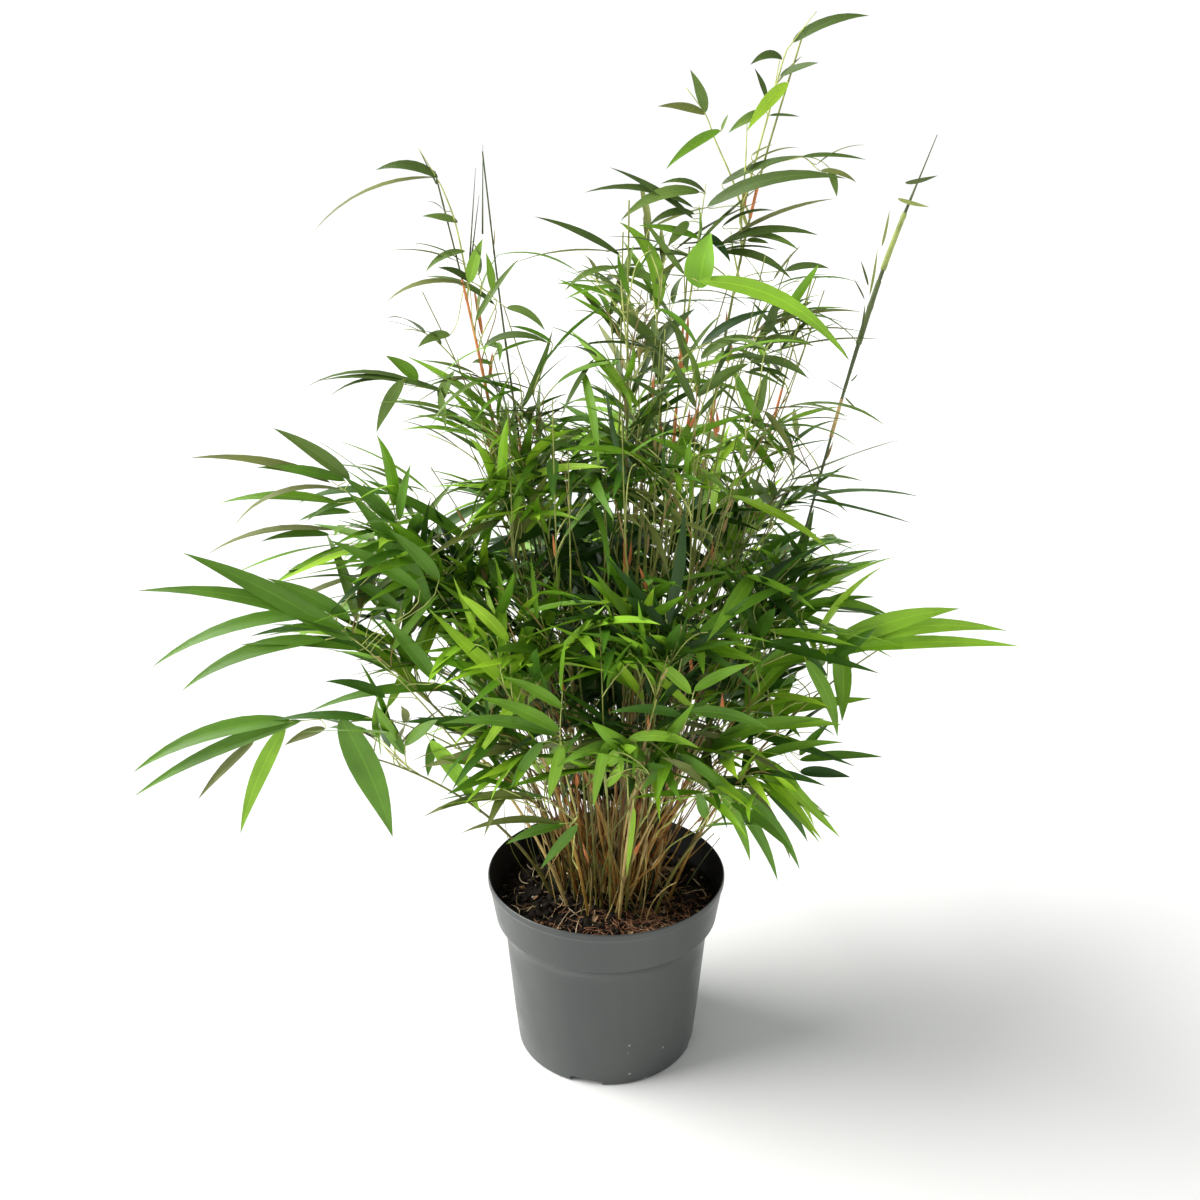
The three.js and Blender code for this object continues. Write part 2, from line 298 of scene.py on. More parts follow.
class Heap:
    """Meshes of one kind, gathered to be joined into one piece."""

    def __init__(self):
        self.points, self.faces, self.count = [], [], 0

    def add(self, points, faces):
        self.points.append(points)
        self.faces.append(faces + self.count)
        self.count += len(points)

    def add_tube(self, path, radii, sides=6):
        points, walls, caps = tube_mesh(np.asarray(path), radii, sides)
        halves = np.vstack([walls[:, [0, 1, 2]], walls[:, [0, 2, 3]]])
        self.add(points, np.vstack([halves, caps]))

    def build(self, name, material, slot, smooth=True):
        if self.points:
            mesh_object(name, np.vstack(self.points), np.vstack(self.faces), material, None, smooth)


# ---- leaves

LEAF_STATIONS = np.array([0, 0.035, 0.09, 0.17, 0.27, 0.38, 0.5, 0.62, 0.74, 0.85, 0.94, 1.0])
LEAF_ACROSS = np.array([-1.0, -0.5, 0.0, 0.5, 1.0])
LEAF_WIDTHS = LEAF_STATIONS**0.6 * (1 - LEAF_STATIONS) ** 1.12
LEAF_WIDTHS = np.maximum(LEAF_WIDTHS / LEAF_WIDTHS.max(), 0.03)
LEAF_WIDTHS[-1] = 0.0


def leaf_blades(base, heading, upward, length, width, droop, fold, sway):
    """Lance-shaped blades from arrays: where each starts, the way it points and its upper side, its
    size, how far it bends down and sideways, in radians, and how deep its middle is folded."""
    count = len(base)
    heading = unit(heading)
    upward = unit(upward - heading * np.sum(upward * heading, axis=1, keepdims=True))
    side = np.cross(heading, upward)
    s = LEAF_STATIONS[None, :]
    down = (droop[:, None] * s**1.25)[..., None]
    turn = (sway[:, None] * s)[..., None]
    heading, side, upward = heading[:, None, :], side[:, None, :], upward[:, None, :]
    ahead = heading * np.cos(turn) + side * np.sin(turn)
    sideways = side * np.cos(turn) - heading * np.sin(turn)
    tangent = ahead * np.cos(down) - upward * np.sin(down)
    normal = ahead * np.sin(down) + upward * np.cos(down)
    gaps = np.diff(LEAF_STATIONS, prepend=0.0)[None, :, None]
    middle_tangent = (tangent + np.concatenate([tangent[:, :1], tangent[:, :-1]], axis=1)) / 2
    spine = base[:, None, :] + np.cumsum(middle_tangent * gaps, axis=1) * length[:, None, None]
    half = LEAF_WIDTHS[None, :] * width[:, None] / 2
    u = LEAF_ACROSS[None, None, :]
    lift = fold[:, None, None] * (np.abs(u) - 0.35 * u**2) * half[..., None]
    ripple = 0.05 * np.sin(9 * s[..., None] + 7 * fold[:, None, None] + 2 * u) * half[..., None]
    points = spine[:, :, None, :] + sideways[:, :, None, :] * (u * half[..., None])[..., None]
    points = points + normal[:, :, None, :] * (lift + ripple)[..., None]
    stations, across = len(LEAF_STATIONS), len(LEAF_ACROSS)
    uv = np.empty((count, stations, across, 2))
    uv[..., 0] = LEAF_ACROSS[None, None, :]
    uv[..., 1] = s[..., None] * 6
    cell = np.arange(stations - 1)[:, None] * across + np.arange(across - 1)[None, :]
    quads = np.stack([cell, cell + 1, cell + across + 1, cell + across], axis=-1).reshape(-1, 4)
    triangles = np.vstack([quads[:, [0, 1, 2]], quads[:, [0, 2, 3]]])
    offsets = np.arange(count)[:, None, None] * stations * across
    return points.reshape(-1, 3), (triangles[None] + offsets).reshape(-1, 3), uv.reshape(-1, 2)


def blade_piece(name, rows, material):
    """One piece from rows that each hold a blade's arguments for leaf_blades."""
    table = np.array(rows)
    points, faces, uv = leaf_blades(table[:, 0:3], table[:, 3:6], table[:, 6:9], *table[:, 9:14].T)
    return mesh_object(name, points, faces, material, uv)


LEAF_TONES = {
    "deep": (0.022, 0.074, 0.005),
    "forest": (0.052, 0.150, 0.008),
    "mid": (0.100, 0.240, 0.012),
    "grass": (0.160, 0.345, 0.016),
    "fresh": (0.240, 0.470, 0.023),
    "lime": (0.330, 0.565, 0.028),
    "olive": (0.165, 0.200, 0.045),
    "moss": (0.072, 0.128, 0.018),
    "sage": (0.145, 0.240, 0.040),
}


leaf_rows = {tone: [] for tone in LEAF_TONES}


def add_leaf(tone, base, heading, upward, *shape):
    """Deals a leaf out to its tone. Its shape is its length, width, droop, fold and sway."""
    leaf_rows[tone].append([*base, *heading, *upward, *shape])


# ---- pot

POT_SIDES = 160
NOTCH_COUNT, NOTCH_TURN = 4, -103  # the second is where the first drain notch is, in degrees
NOTCH_LOW, NOTCH_HIGH, NOTCH_INNER, NOTCH_OUTER, NOTCH_WIDTH = (size * MM for size in (-2, 5.5, 64, 82, 26))


def rings(radii, heights, sides):
    """Level rings of points about the Z axis, one for each radius and height."""
    angle = np.arange(sides) * 2 * math.pi / sides
    x, y = np.multiply.outer(radii, np.cos(angle)), np.multiply.outer(radii, np.sin(angle))
    z = np.repeat(np.array(heights, dtype=float)[:, None], sides, axis=1)
    return np.stack([x, y, z], axis=-1)


def rounded(points, radius):
    """The outline with each corner between its ends turned into a short arc."""
    steps = 4
    points = [np.array(p, dtype=float) for p in points]
    outline = [points[0]]
    for before, corner, after in zip(points, points[1:], points[2:]):
        reach = min(radius, norm(before - corner) / 2.2, norm(after - corner) / 2.2)
        start = corner + unit(before - corner) * reach
        end = corner + unit(after - corner) * reach
        for t in np.linspace(0, 1, steps + 1):
            outline.append((1 - t) ** 2 * start + 2 * t * (1 - t) * corner + t**2 * end)
    outline.append(points[-1])
    return outline


def pot_outline():
    """Half of the pot's wall in mm, from the middle of its underside, round the rim, to its floor."""
    rim, height = POT_HIGH[0] / MM, POT_HIGH[2] / MM
    base, shoulder, collar = 73, 82, 89
    wall, floor = 1.8, 3
    foot = [(0.5, 0.9), (24, 0.9), (25, 0), (base - 1.4, 0), (base - 0.2, 1.4), (base + 2.6, 28)]
    under_collar = [(-0.6, 97), (0.1, 102), (1.3, 106), (3.4, 110.6)]
    slope = [(shoulder + out, up) for out, up in under_collar] + [(collar - 2, 113.4), (collar + 0.2, 116.2)]
    from_rim = [(-1.2, -7), (-0.1, -5), (0, -1.2), (-0.8, 0), (-1.6, -0.4), (-2, -2)]
    lip = [(rim + out, height + up) for out, up in from_rim]
    inside = [(collar, 115), (shoulder + 1, 106), (shoulder, 102), (base, floor + 0.6), (base - 0.8, floor)]
    inside = [(out - wall, up) for out, up in inside] + [(0.5, floor)]
    return rounded(foot + slope + lip + inside, 0.7)


def pot_material():
    """Grey moulded plastic: faint flow marks, a few pale scuffs and dust, and painted shade in a band under
    the collar's edge. The darker inside is a material of its own, given in make_pot.
    """
    material, tree, shader = new_material("pot_grey", 0.40, 0.5)
    coordinates = tree.nodes.new("ShaderNodeTexCoord").outputs["Object"]
    stretch = tree.nodes.new("ShaderNodeMapping")
    stretch.inputs["Scale"].default_value = (1.0, 1.0, 0.22)
    tree.links.new(coordinates, stretch.inputs["Vector"])
    clouds = noise_node(tree, 14.0, 5.0, 0.6, stretch.outputs["Vector"])
    grey = ramp_node(tree, clouds, [(0.3, (0.050, 0.057, 0.057)), (0.72, (0.074, 0.080, 0.073))])
    specks = tree.nodes.new("ShaderNodeTexVoronoi")
    specks.inputs["Scale"].default_value = 78.0
    tree.links.new(coordinates, specks.inputs["Vector"])
    speck = ramp_node(tree, specks.outputs["Distance"], greys((0.06, 0.85), (0.10, 0.0)))
    patches = ramp_node(tree, noise_node(tree, 9.0), greys((0.52, 0.0), (0.60, 1.0)))
    height = axis_node(tree, coordinates, "Z")
    edge = ramp_node(tree, height, greys((0.115, 0.0), (0.117, 1.0), (0.123, 1.0), (0.126, 0.0)))
    # Painted shade: the band under the collar's edge, from 100 mm up to the edge at 116.6 mm, darkens
    # towards the edge.
    painted_collar_shade = ramp_node(tree, height, greys((0.100, 0.0), (0.111, 0.35), (0.1158, 0.95), (0.1166, 0.0)))
    dust = math_node(tree, "MULTIPLY", speck, math_node(tree, "MAXIMUM", patches, edge))
    with_painted_collar_shade = mix_node(tree, painted_collar_shade, grey, (0.030, 0.035, 0.035))
    dusty = mix_node(tree, dust, with_painted_collar_shade, (0.34, 0.33, 0.30))
    tree.links.new(dusty, shader.inputs["Base Color"])
    roughness = ramp_node(tree, noise_node(tree, 30.0), greys((0.3, 0.29), (0.7, 0.43)))
    tree.links.new(roughness, shader.inputs["Roughness"])
    bump(tree, shader, noise_node(tree, 420.0), 0.3, 0.12 * MM)
    return material


def apply_modifiers(piece):
    """Bakes the piece's modifiers into its mesh."""
    graph = bpy.context.evaluated_depsgraph_get()
    mesh = bpy.data.meshes.new_from_object(piece.evaluated_get(graph))
    piece.modifiers.clear()
    piece.data = mesh


def notch_cutter(azimuth):
    """A box with a rounded top, set radially through the foot of the wall."""
    half, low, high = NOTCH_WIDTH / 2, NOTCH_LOW, NOTCH_HIGH
    arch = [(-half, low), (half, low), (half, high * 0.6), (half * 0.86, high), (-half * 0.86, high)]
    arch.append((-half, high * 0.6))
    ring = len(arch)
    turn = np.array([math.cos(azimuth), math.sin(azimuth), 0.0])
    along = np.array([-turn[1], turn[0], 0.0])
    points = [turn * r + along * x + UP * z for r in (NOTCH_INNER, NOTCH_OUTER) for x, z in arch]
    mesh = bpy.data.meshes.new("notch_cutter")
    faces = [tuple(range(ring))[::-1], tuple(range(ring, 2 * ring))]
    faces += [(k, (k + 1) % ring, ring + (k + 1) % ring, ring + k) for k in range(ring)]
    mesh.from_pydata([tuple(p) for p in points], [], faces)
    cutter = bpy.data.objects.new("notch_cutter", mesh)
    bpy.context.scene.collection.objects.link(cutter)
    return cutter


def cut_notches(pot):
    for index in range(NOTCH_COUNT):
        cutter = notch_cutter(math.radians(NOTCH_TURN + 360 / NOTCH_COUNT * index))
        cut = pot.modifiers.new("notch", "BOOLEAN")
        cut.operation = "DIFFERENCE"
        cut.solver = "EXACT"
        cut.object = cutter
        apply_modifiers(pot)
        bpy.data.objects.remove(cutter)


def close_shell(mesh):
    """Fills the holes at the two ends of the revolved wall and turns its faces outward."""
    shell = bmesh.new()
    shell.from_mesh(mesh)
    bmesh.ops.holes_fill(shell, edges=[e for e in shell.edges if e.is_boundary], sides=0)
    bmesh.ops.recalc_face_normals(shell, faces=shell.faces)
    shell.to_mesh(mesh)
    shell.free()


def make_pot():
    """The pot, with its drain notches cut and its inside wall near black: part soil stain, part painted
    shade.
    """
    radii, heights = np.array(pot_outline()).T * MM
    points = rings(radii, heights, POT_SIDES).reshape(-1, 3)
    quads = wall_quads(len(radii), POT_SIDES)
    pot = mesh_object("pot_moulded", points, quads, pot_material())
    bpy.context.view_layer.update()
    close_shell(pot.data)
    cut_notches(pot)
    pot.data.set_sharp_from_angle(angle=math.radians(38))
    # The inside wall's near-black colour is partly soil stain and partly painted shade, where the wall lies
    # in shadow.
    inside = varied_material("pot_inside_stain_and_painted_shade", (0.009, 0.009, 0.008), 0.6, 60.0, 0.3, specular=0.2)
    pot.data.materials.append(inside)
    for face in pot.data.polygons:
        outward = face.normal.x * face.center.x + face.normal.y * face.center.y
        if outward < -0.3 * math.hypot(face.center.x, face.center.y) and face.center.z > 6 * MM:
            face.material_index = 1
    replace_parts(pot, "pot")


make_pot()


# ---- soil and what lies on it

def bumpy(x, y, seed):
    """A smooth random field from -1 to 1 over the soil's surface."""
    field = np.zeros_like(x)
    waves = np.random.default_rng(seed)
    for octave in range(5):
        for _ in range(4):
            direction = waves.uniform(0, 2 * math.pi)
            frequency = 60 * 1.9**octave
            shift = waves.uniform(0, 2 * math.pi)
            wave = np.sin(frequency * (x * np.cos(direction) + y * np.sin(direction)) + shift)
            field += wave / 1.6**octave
    return field / 7


def pot_inner_radius(height):
    """The inner radius of the pot's collar at a height."""
    low, narrow, wide = 115 * MM, 87.0 * MM, POT_HIGH[0] - 2.2 * MM
    return narrow + np.clip((height - low) / (POT_HIGH[2] - low), 0, 1) * (wide - narrow)


def soil_height(x, y):
    """The lumpy surface of the soil: a low mound, with a hollow along the wall."""
    reach = np.sqrt(x**2 + y**2)
    mound = 2.0 * MM * np.cos(np.clip(reach / (70 * MM), 0, 1) * math.pi / 2)
    lumps = 3.4 * MM * bumpy(x, y, 3)
    rim_hollow = -1.5 * MM * np.clip((reach - 70 * MM) / (18 * MM), 0, 1)
    return SOIL_TOP - 1.0 * MM + mound + lumps + rim_hollow


# The soil's underside and wall, from its edge to its middle: radius and height in mm.
SOIL_BELOW = [(86.5, 116), (79.5, 104), (78.2, 90), (70, 4), (0.4, 4)]


def make_soil():
    """The soil as one closed shape, finely lumpy on top."""
    sides, steps = 220, 60
    top = rings(np.linspace(0.4 * MM, pot_inner_radius(SOIL_TOP) - 0.3 * MM, steps), np.zeros(steps), sides)
    top[..., 2] = soil_height(top[..., 0], top[..., 1])
    points = np.concatenate([top, rings(*(np.array(SOIL_BELOW).T * MM), sides)])
    quads = np.roll(wall_quads(len(points), sides)[:, ::-1], 1, axis=1)
    material, tree, shader = new_material("soil_dark", 0.92, 0.25)
    crumbs = noise_node(tree, 260.0, 8.0, 0.7)
    stops = [(0.3, (0.004, 0.003, 0.002)), (0.55, (0.012, 0.008, 0.005)), (0.78, (0.045, 0.024, 0.012))]
    tree.links.new(ramp_node(tree, crumbs, stops), shader.inputs["Base Color"])
    bump(tree, shader, noise_node(tree, 420.0, 8.0, 0.7), 1.0, 0.8 * MM)
    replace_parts(mesh_object("soil_crumbly", points.reshape(-1, 3), quads, material), "soil")


# How far from the middle chips, straws and the pot's wall reach.
LITTER_REACH, STRAW_REACH, WALL_REACH = 86 * MM, 82 * MM, 88 * MM


def small_ball():
    """The corners and faces of a twenty-faced ball of radius 1."""
    golden = (1 + 5**0.5) / 2
    corners = []
    for a in (-1, 1):
        for b in (-golden, golden):
            corners += [(0, a, b), (a, b, 0), (b, 0, a)]
    corners = unit(np.array(corners, dtype=float))
    faces = []
    for i in range(12):
        for j in range(i + 1, 12):
            for k in range(j + 1, 12):
                sides = [norm(corners[p] - corners[q]) for p, q in ((i, j), (j, k), (i, k))]
                if max(sides) < 1.1:
                    normal = np.cross(corners[j] - corners[i], corners[k] - corners[i])
                    faces.append((i, j, k) if normal @ corners[i] > 0 else (i, k, j))
    return corners, np.array(faces)


BALL_POINTS, BALL_FACES = small_ball()


def random_turn():
    """The matrix of a random rotation."""
    w, x, y, z = unit(rng.normal(size=4))
    across = [1 - 2 * (y * y + z * z), 2 * (x * y - z * w), 2 * (x * z + y * w)]
    along = [2 * (x * y + z * w), 1 - 2 * (x * x + z * z), 2 * (y * z - x * w)]
    upward = [2 * (x * z - y * w), 2 * (y * z + x * w), 1 - 2 * (x * x + y * y)]
    return np.array([across, along, upward])


def soil_spot(most, brown_side):
    """A random place on the soil, or on its front right where the brown fibres lie."""
    reach = most * math.sqrt(rng.uniform(0.01, 1))
    angle = rng.normal(-0.95, 0.6) if brown_side else rng.uniform(0, 2 * math.pi)
    x, y = reach * math.cos(angle), reach * math.sin(angle)
    return np.array([x, y, float(soil_height(np.array(x), np.array(y)))])


def scatter_grains(heap, count, sizes, flatness, sink=0.3, brown_side=False):
    for _ in range(count):
        size = rng.uniform(*sizes) * MM * np.array([1, rng.uniform(0.5, 1), rng.uniform(*flatness)])
        rough = 1 + rng.uniform(-0.3, 0.3, size=(12, 1))
        points = (BALL_POINTS * rough * size) @ random_turn().T
        spot = soil_spot(LITTER_REACH, brown_side)
        spot[2] += size.min() * (1 - sink)
        points = points + spot
        if np.hypot(points[:, 0], points[:, 1]).max() < WALL_REACH:
            heap.add(points, BALL_FACES)


def lying_strand(length, brown_side):
    """The path of a straw that lies on the soil, partly propped up by it."""
    spot = soil_spot(STRAW_REACH, brown_side)
    angle = rng.uniform(0, 2 * math.pi)
    ahead = np.array([math.cos(angle), math.sin(angle), rng.uniform(-0.05, 0.35)])
    bow = np.array([-ahead[1], ahead[0], rng.uniform(0, 0.6)]) * rng.uniform(-0.2, 0.2)
    t = np.linspace(-0.5, 0.5, 7)[:, None]
    path = spot + ahead * t * length + bow * length * (1 - 4 * t**2)
    lowest = soil_height(path[:, 0], path[:, 1]) + 1.0 * MM
    path[:, 2] = np.maximum(path[:, 2], lowest) + rng.uniform(0, 2.5) * MM
    return path


# Lying straws: colour, how many, shortest and longest, thinnest and thickest, and whether they keep
# to the brown side.
STRAWS = {
    "straw_pale": ((0.60, 0.47, 0.30), 44, (8, 34), (0.3, 0.65), False),
    "straw_tan": ((0.30, 0.18, 0.09), 70, (8, 24), (0.3, 0.6), False),
    "straw_pink": ((0.34, 0.155, 0.08), 460, (6, 18), (0.2, 0.45), True),
}
CHIPS = {
    "bark_dark": ((0.011, 0.007, 0.004), 1300, (1.2, 4.2), False),
    "bark_lumps": ((0.014, 0.008, 0.005), 120, (3.5, 6.5), False),
    "bark_brown": ((0.070, 0.028, 0.011), 420, (1.0, 3.6), True),
    "bark_tan": ((0.270, 0.150, 0.070), 170, (1.0, 3.4), False),
}


def make_dry_leaves():
    """Curled bits of dead leaf on the soil."""
    rows = []
    for _ in range(15):
        spot = soil_spot(78 * MM, rng.uniform() < 0.3)
        spot[2] += rng.uniform(1.5, 4) * MM
        angle = rng.uniform(0, 2 * math.pi)
        heading = unit(np.array([math.cos(angle), math.sin(angle), rng.uniform(0.0, 0.5)]))
        length = rng.uniform(8, 17) * MM
        bend = rng.uniform(-0.4, 1.6)
        width = length * rng.uniform(0.22, 0.4)
        rows.append([*spot, *heading, *UP, length, width, bend, 0.7, rng.normal(0, 0.4)])
    blade_piece("dry_leaves", rows, leaf_material("dry_leaf", (0.40, 0.26, 0.14), 0.7))


def make_litter():
    """Bark chips, pale grit, straws and dead leaves on the soil."""
    for name, (colour, count, sizes, brown_side) in CHIPS.items():
        heap = Heap()
        scatter_grains(heap, count, sizes, (0.2, 0.6), brown_side=brown_side)
        material = varied_material(name, colour, 0.85, 300.0, 0.45, 0.2 * MM, 0.3)
        heap.build(name + "_chips", material, "soil", smooth=False)
    grit = Heap()
    scatter_grains(grit, 90, (0.6, 1.4), (0.7, 1.0), sink=0.0)
    grit.build("pale_grit", varied_material("pale_grit", (0.62, 0.60, 0.54), 0.8, 500.0, 0.1), "soil", False)
    for name, (colour, count, lengths, thicks, brown_side) in STRAWS.items():
        heap = Heap()
        for _ in range(count):
            path = lying_strand(rng.uniform(*lengths) * MM, brown_side)
            if np.hypot(path[:, 0], path[:, 1]).max() < LITTER_REACH:
                taper = 1 - 0.5 * np.abs(np.linspace(-1, 1, 7)) ** 3
                heap.add_tube(path, rng.uniform(*thicks) * MM * taper, 5)
        heap.build(name, varied_material(name, colour, 0.7, 200.0, 0.3), "soil")
    make_dry_leaves()


make_soil()
make_litter()


# ---- canes

STEM_TONES = {
    "gold": (0.380, 0.215, 0.045),
    "straw": (0.560, 0.410, 0.150),
    "brown": (0.110, 0.052, 0.015),
    "rust": (0.340, 0.130, 0.028),
    "olive": (0.165, 0.155, 0.034),
    "green": (0.240, 0.270, 0.052),
    "dark": (0.070, 0.100, 0.028),
}
stems = {tone: Heap() for tone in STEM_TONES}
LINES = []  # each cane as its path, radii, length along it and joints: what the twigs grow on
JOINT_SPACING = 38 * MM
MAIN_CANES = {}  # the path and radii of each cane of the frame, by name


def cane_radii(path, radii):
    """The cane's radii with a swollen ring at each joint, and where the joints are."""
    travelled = np.concatenate([[0], np.cumsum(norm(np.diff(path, axis=0), axis=1))])
    joints, place = [], JOINT_SPACING * rng.uniform(0.3, 0.8)
    while place < travelled[-1] - 15 * MM:
        joints.append(place)
        place += JOINT_SPACING * rng.uniform(0.8, 1.25) * (0.8 + 0.8 * place / travelled[-1])
    swollen = np.array(radii, dtype=float)
    for joint in joints:
        swollen *= 1 + 0.28 * np.exp(-(((travelled - joint) / (1.4 * MM)) ** 2))
    return swollen, travelled, joints


def add_cane(path, radii, low_tone, high_tone, change_at, sides=8):
    """One jointed cane, in one tone up to a height and in another above it."""
    length = norm(np.diff(path, axis=0), axis=1).sum()
    fine = smooth_path(path, max(24, int(length / (2.6 * MM))))
    thick = np.interp(np.linspace(0, 1, len(fine)), np.linspace(0, 1, len(radii)), radii)
    swollen, travelled, joints = cane_radii(fine, thick)
    change = int(np.searchsorted(fine[:, 2], change_at)) if fine[-1, 2] > change_at else len(fine)
    if change > 3:
        stems[low_tone].add_tube(fine[: change + 1], swollen[: change + 1], sides)
    if change < len(fine) - 3:
        stems[high_tone].add_tube(fine[change:], swollen[change:], sides)
    LINES.append((fine, swollen, travelled, joints))


# The bare stem's half-thickness in mm by height in mm: it is thickest where its sheaths clasp it.
BARE_STEM = [(128, 0.9), (420, 0.9), (530, 1.0), (560, 1.5), (650, 1.4), (668, 0.65), (705, 0.25)]


def add_frame_canes():
    """The canes of the frame, jointed and a little thinner than there."""
    tones = ["gold", "olive", "straw", "gold", "olive"]
    for index, name in enumerate(CULM_NODES):
        middles, radii = centre_line(name)
        middles[0, 2] -= 1.5 * MM
        radii = radii * 0.8
        if name == "culm_bare_right":
            heights, halves = zip(*BARE_STEM)
            even = np.interp(np.linspace(0, 1, 40), np.linspace(0, 1, len(middles)), middles[:, 2])
            radii = np.interp(even / MM, heights, halves) * MM
        high = "dark" if name in ("culm_left_tall", "culm_left_inner", "culm_bare_right") else "green"
        add_cane(middles, radii, tones[index % 5], high, rng.uniform(0.22, 0.34))
        MAIN_CANES[name] = LINES[-1][:2]


add_frame_canes()


# ---- where leaves may grow

def solid_tree(name):
    """A mass of the frame as a tree of faces that rays can be cast at."""
    mesh = NODES[name].data
    points = [v.co.copy() for v in mesh.vertices]
    return BVHTree.FromPolygons(points, [tuple(p.vertices) for p in mesh.polygons])


TREES = {name: solid_tree(name) for name in MASS_NODES}


def inside(tree, point):
    """Whether a point is in a closed mesh, by counting the faces along a slanted line."""
    origin, direction = Vector(point), Vector((0.137, 0.211, 0.968)).normalized()
    crossings = 0
    while True:
        hit, _normal, _index, distance = tree.ray_cast(origin, direction)
        if hit is None:
            return crossings % 2 == 1
        crossings += 1
        origin = hit + direction * 1e-5


def points_in(name, count):
    """Random points in a mass, kept a little inside its surface."""
    low, high = (np.array(corner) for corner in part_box(name))
    middle = (low + high) / 2
    found = []
    for _ in range(count * 60):
        point = rng.uniform(low, high)
        if inside(TREES[name], point):
            found.append(middle + (point - middle) * 0.9)
            if len(found) == count:
                break
    return np.array(found)


# ---- more canes in the clump

CLUMP_MIDDLE = np.array([6 * MM, 8 * MM])
CLUMP_RADII = np.array([37 * MM, 32 * MM])


def arching_path(foot, tip, lean, reach, lift):
    """A cane's line: how far it leans out low down and higher up, as shares, and how it lifts."""
    run = tip - foot
    first = foot + np.array([run[0] * lean, run[1] * lean, run[2] * (0.34 + lift)])
    second = foot + np.array([run[0] * reach, run[1] * reach, run[2] * (0.68 + lift)])
    return bezier(foot, first, second, tip, 9)


LEFT_TONES = ["olive", "straw", "gold", "gold", "olive", "brown"]
RIGHT_TONES = ["gold", "gold", "straw", "rust", "rust", "brown"]
# Tones for the canes at the back of the clump, weighted dark: painted shade for the shaded inside of the
# tuft.
BACK_TONES_PAINTED_SHADE = ["brown", "brown", "gold", "rust", "olive"]


def on_soil(place):
    """The point of the soil's surface at a place, a little sunk in."""
    return np.array([*place, float(soil_height(np.array(place[0]), np.array(place[1]))) - 1 * MM])


def tuft_feet(count):
    """Places on the soil where the canes come up in tufts."""
    feet = []
    while len(feet) < count:
        way = rng.normal(0, 0.55, 2)
        foot = CLUMP_MIDDLE + CLUMP_RADII * way
        apart = min((norm(foot - other) for other in feet), default=1.0)
        if norm(way) < 1.12 and apart > 7 * MM:
            feet.append(foot)
    return np.array(feet)


def add_clump_canes(count):
    """Thin canes that rise in tufts, fill the clump and end in the masses of leaves."""
    tufts = tuft_feet(30)
    targets = [name for name in MASS_NODES if name.split("_")[0] in ("skirt", "belt", "shoulder", "upper")]
    for index in range(count):
        name = targets[index % len(targets)]
        tip = points_in(name, 1)[0]
        wanted = CLUMP_MIDDLE + 0.28 * (tip[:2] - CLUMP_MIDDLE) + rng.normal(0, 20 * MM, 2)
        tuft = tufts[norm(tufts - wanted, axis=1).argmin()]
        foot = on_soil(tuft + rng.normal(0, 2.2 * MM, 2))
        path = arching_path(foot, tip, rng.uniform(0.0, 0.32), rng.uniform(0.3, 0.65), rng.uniform(0, 0.06))
        wobble = rng.normal(0, 0.9 * MM, size=path.shape)
        wobble[0] = 0
        thick = (rng.uniform(0.45, 0.8) if rng.uniform() < 0.65 else rng.uniform(0.8, 1.25)) * MM
        low = random.choice(LEFT_TONES if foot[0] < rng.normal(2, 12) * MM else RIGHT_TONES)
        # Canes at the back take the darker tones: painted shade.
        if foot[1] > rng.normal(10, 10) * MM:
            low = random.choice(BACK_TONES_PAINTED_SHADE)
        add_cane(path + wobble, np.linspace(thick, 0.4 * MM, 6), low, "green", rng.uniform(0.19, 0.36), 6)


def add_dead_canes():
    """Broken stubs among the canes, and thin dry strands that lean across them to the rim."""
    for kind, count, tallest in (("stub", 40, 60 * MM), ("strand", 56, 120 * MM)):
        for _ in range(count):
            angle = rng.uniform(0, 2 * math.pi)
            share = math.sqrt(rng.uniform(0.1, 1)) * (1.05 if kind == "stub" else 1.7)
            way = np.array([math.cos(angle), math.sin(angle)])
            foot = on_soil(CLUMP_MIDDLE + CLUMP_RADII * share * way)
            if np.hypot(foot[0], foot[1]) > 78 * MM:
                continue
            lean = way * rng.uniform(-0.5, 0.35) + rng.normal(0, 0.28, 2)
            if kind == "stub":
                lean = way * rng.uniform(0, 0.35) + rng.normal(0, 0.22, 2)
            height = tallest * rng.uniform(0.35, 1)
            tip = foot + np.array([*(lean * height), height])
            if np.hypot(*(foot[:2] + lean * 26 * MM)) > LITTER_REACH:  # it would touch the pot
                continue
            bow = rng.normal(0, 0.07, 3) * height
            t = np.linspace(0, 1, 8)[:, None]
            path = foot + (tip - foot) * t + bow * 4 * t * (1 - t)
            thick = rng.uniform(0.5, 0.95) * MM if kind == "stub" else rng.uniform(0.3, 0.5) * MM
            tone = random.choice(["straw", "gold", "rust"] if kind == "stub" else ["straw", "olive", "dark"])
            stems[tone].add_tube(path, thick * np.linspace(1, 0.6, 8), 6)


# Slender canes that rise in front of the darker leaves: their upper part, from low to high, in mm.
FRONT_CANES = [
    [(14, -66, 403), (12, -70, 445), (9, -72, 533)],
    [(-33, -60, 400), (-35, -66, 457), (-36, -66, 538)],
    [(-24, -64, 390), (-25, -70, 431), (-26, -70, 506)],
    [(-62, -40, 390), (-66, -40, 451), (-67, -40, 534)],
    [(52, -54, 380), (57, -60, 428), (58, -60, 524)],
    [(0, -84, 260), (-2, -98, 300), (-5, -100, 398)],
    [(26, -80, 250), (31, -95, 309), (35, -95, 410)],
]


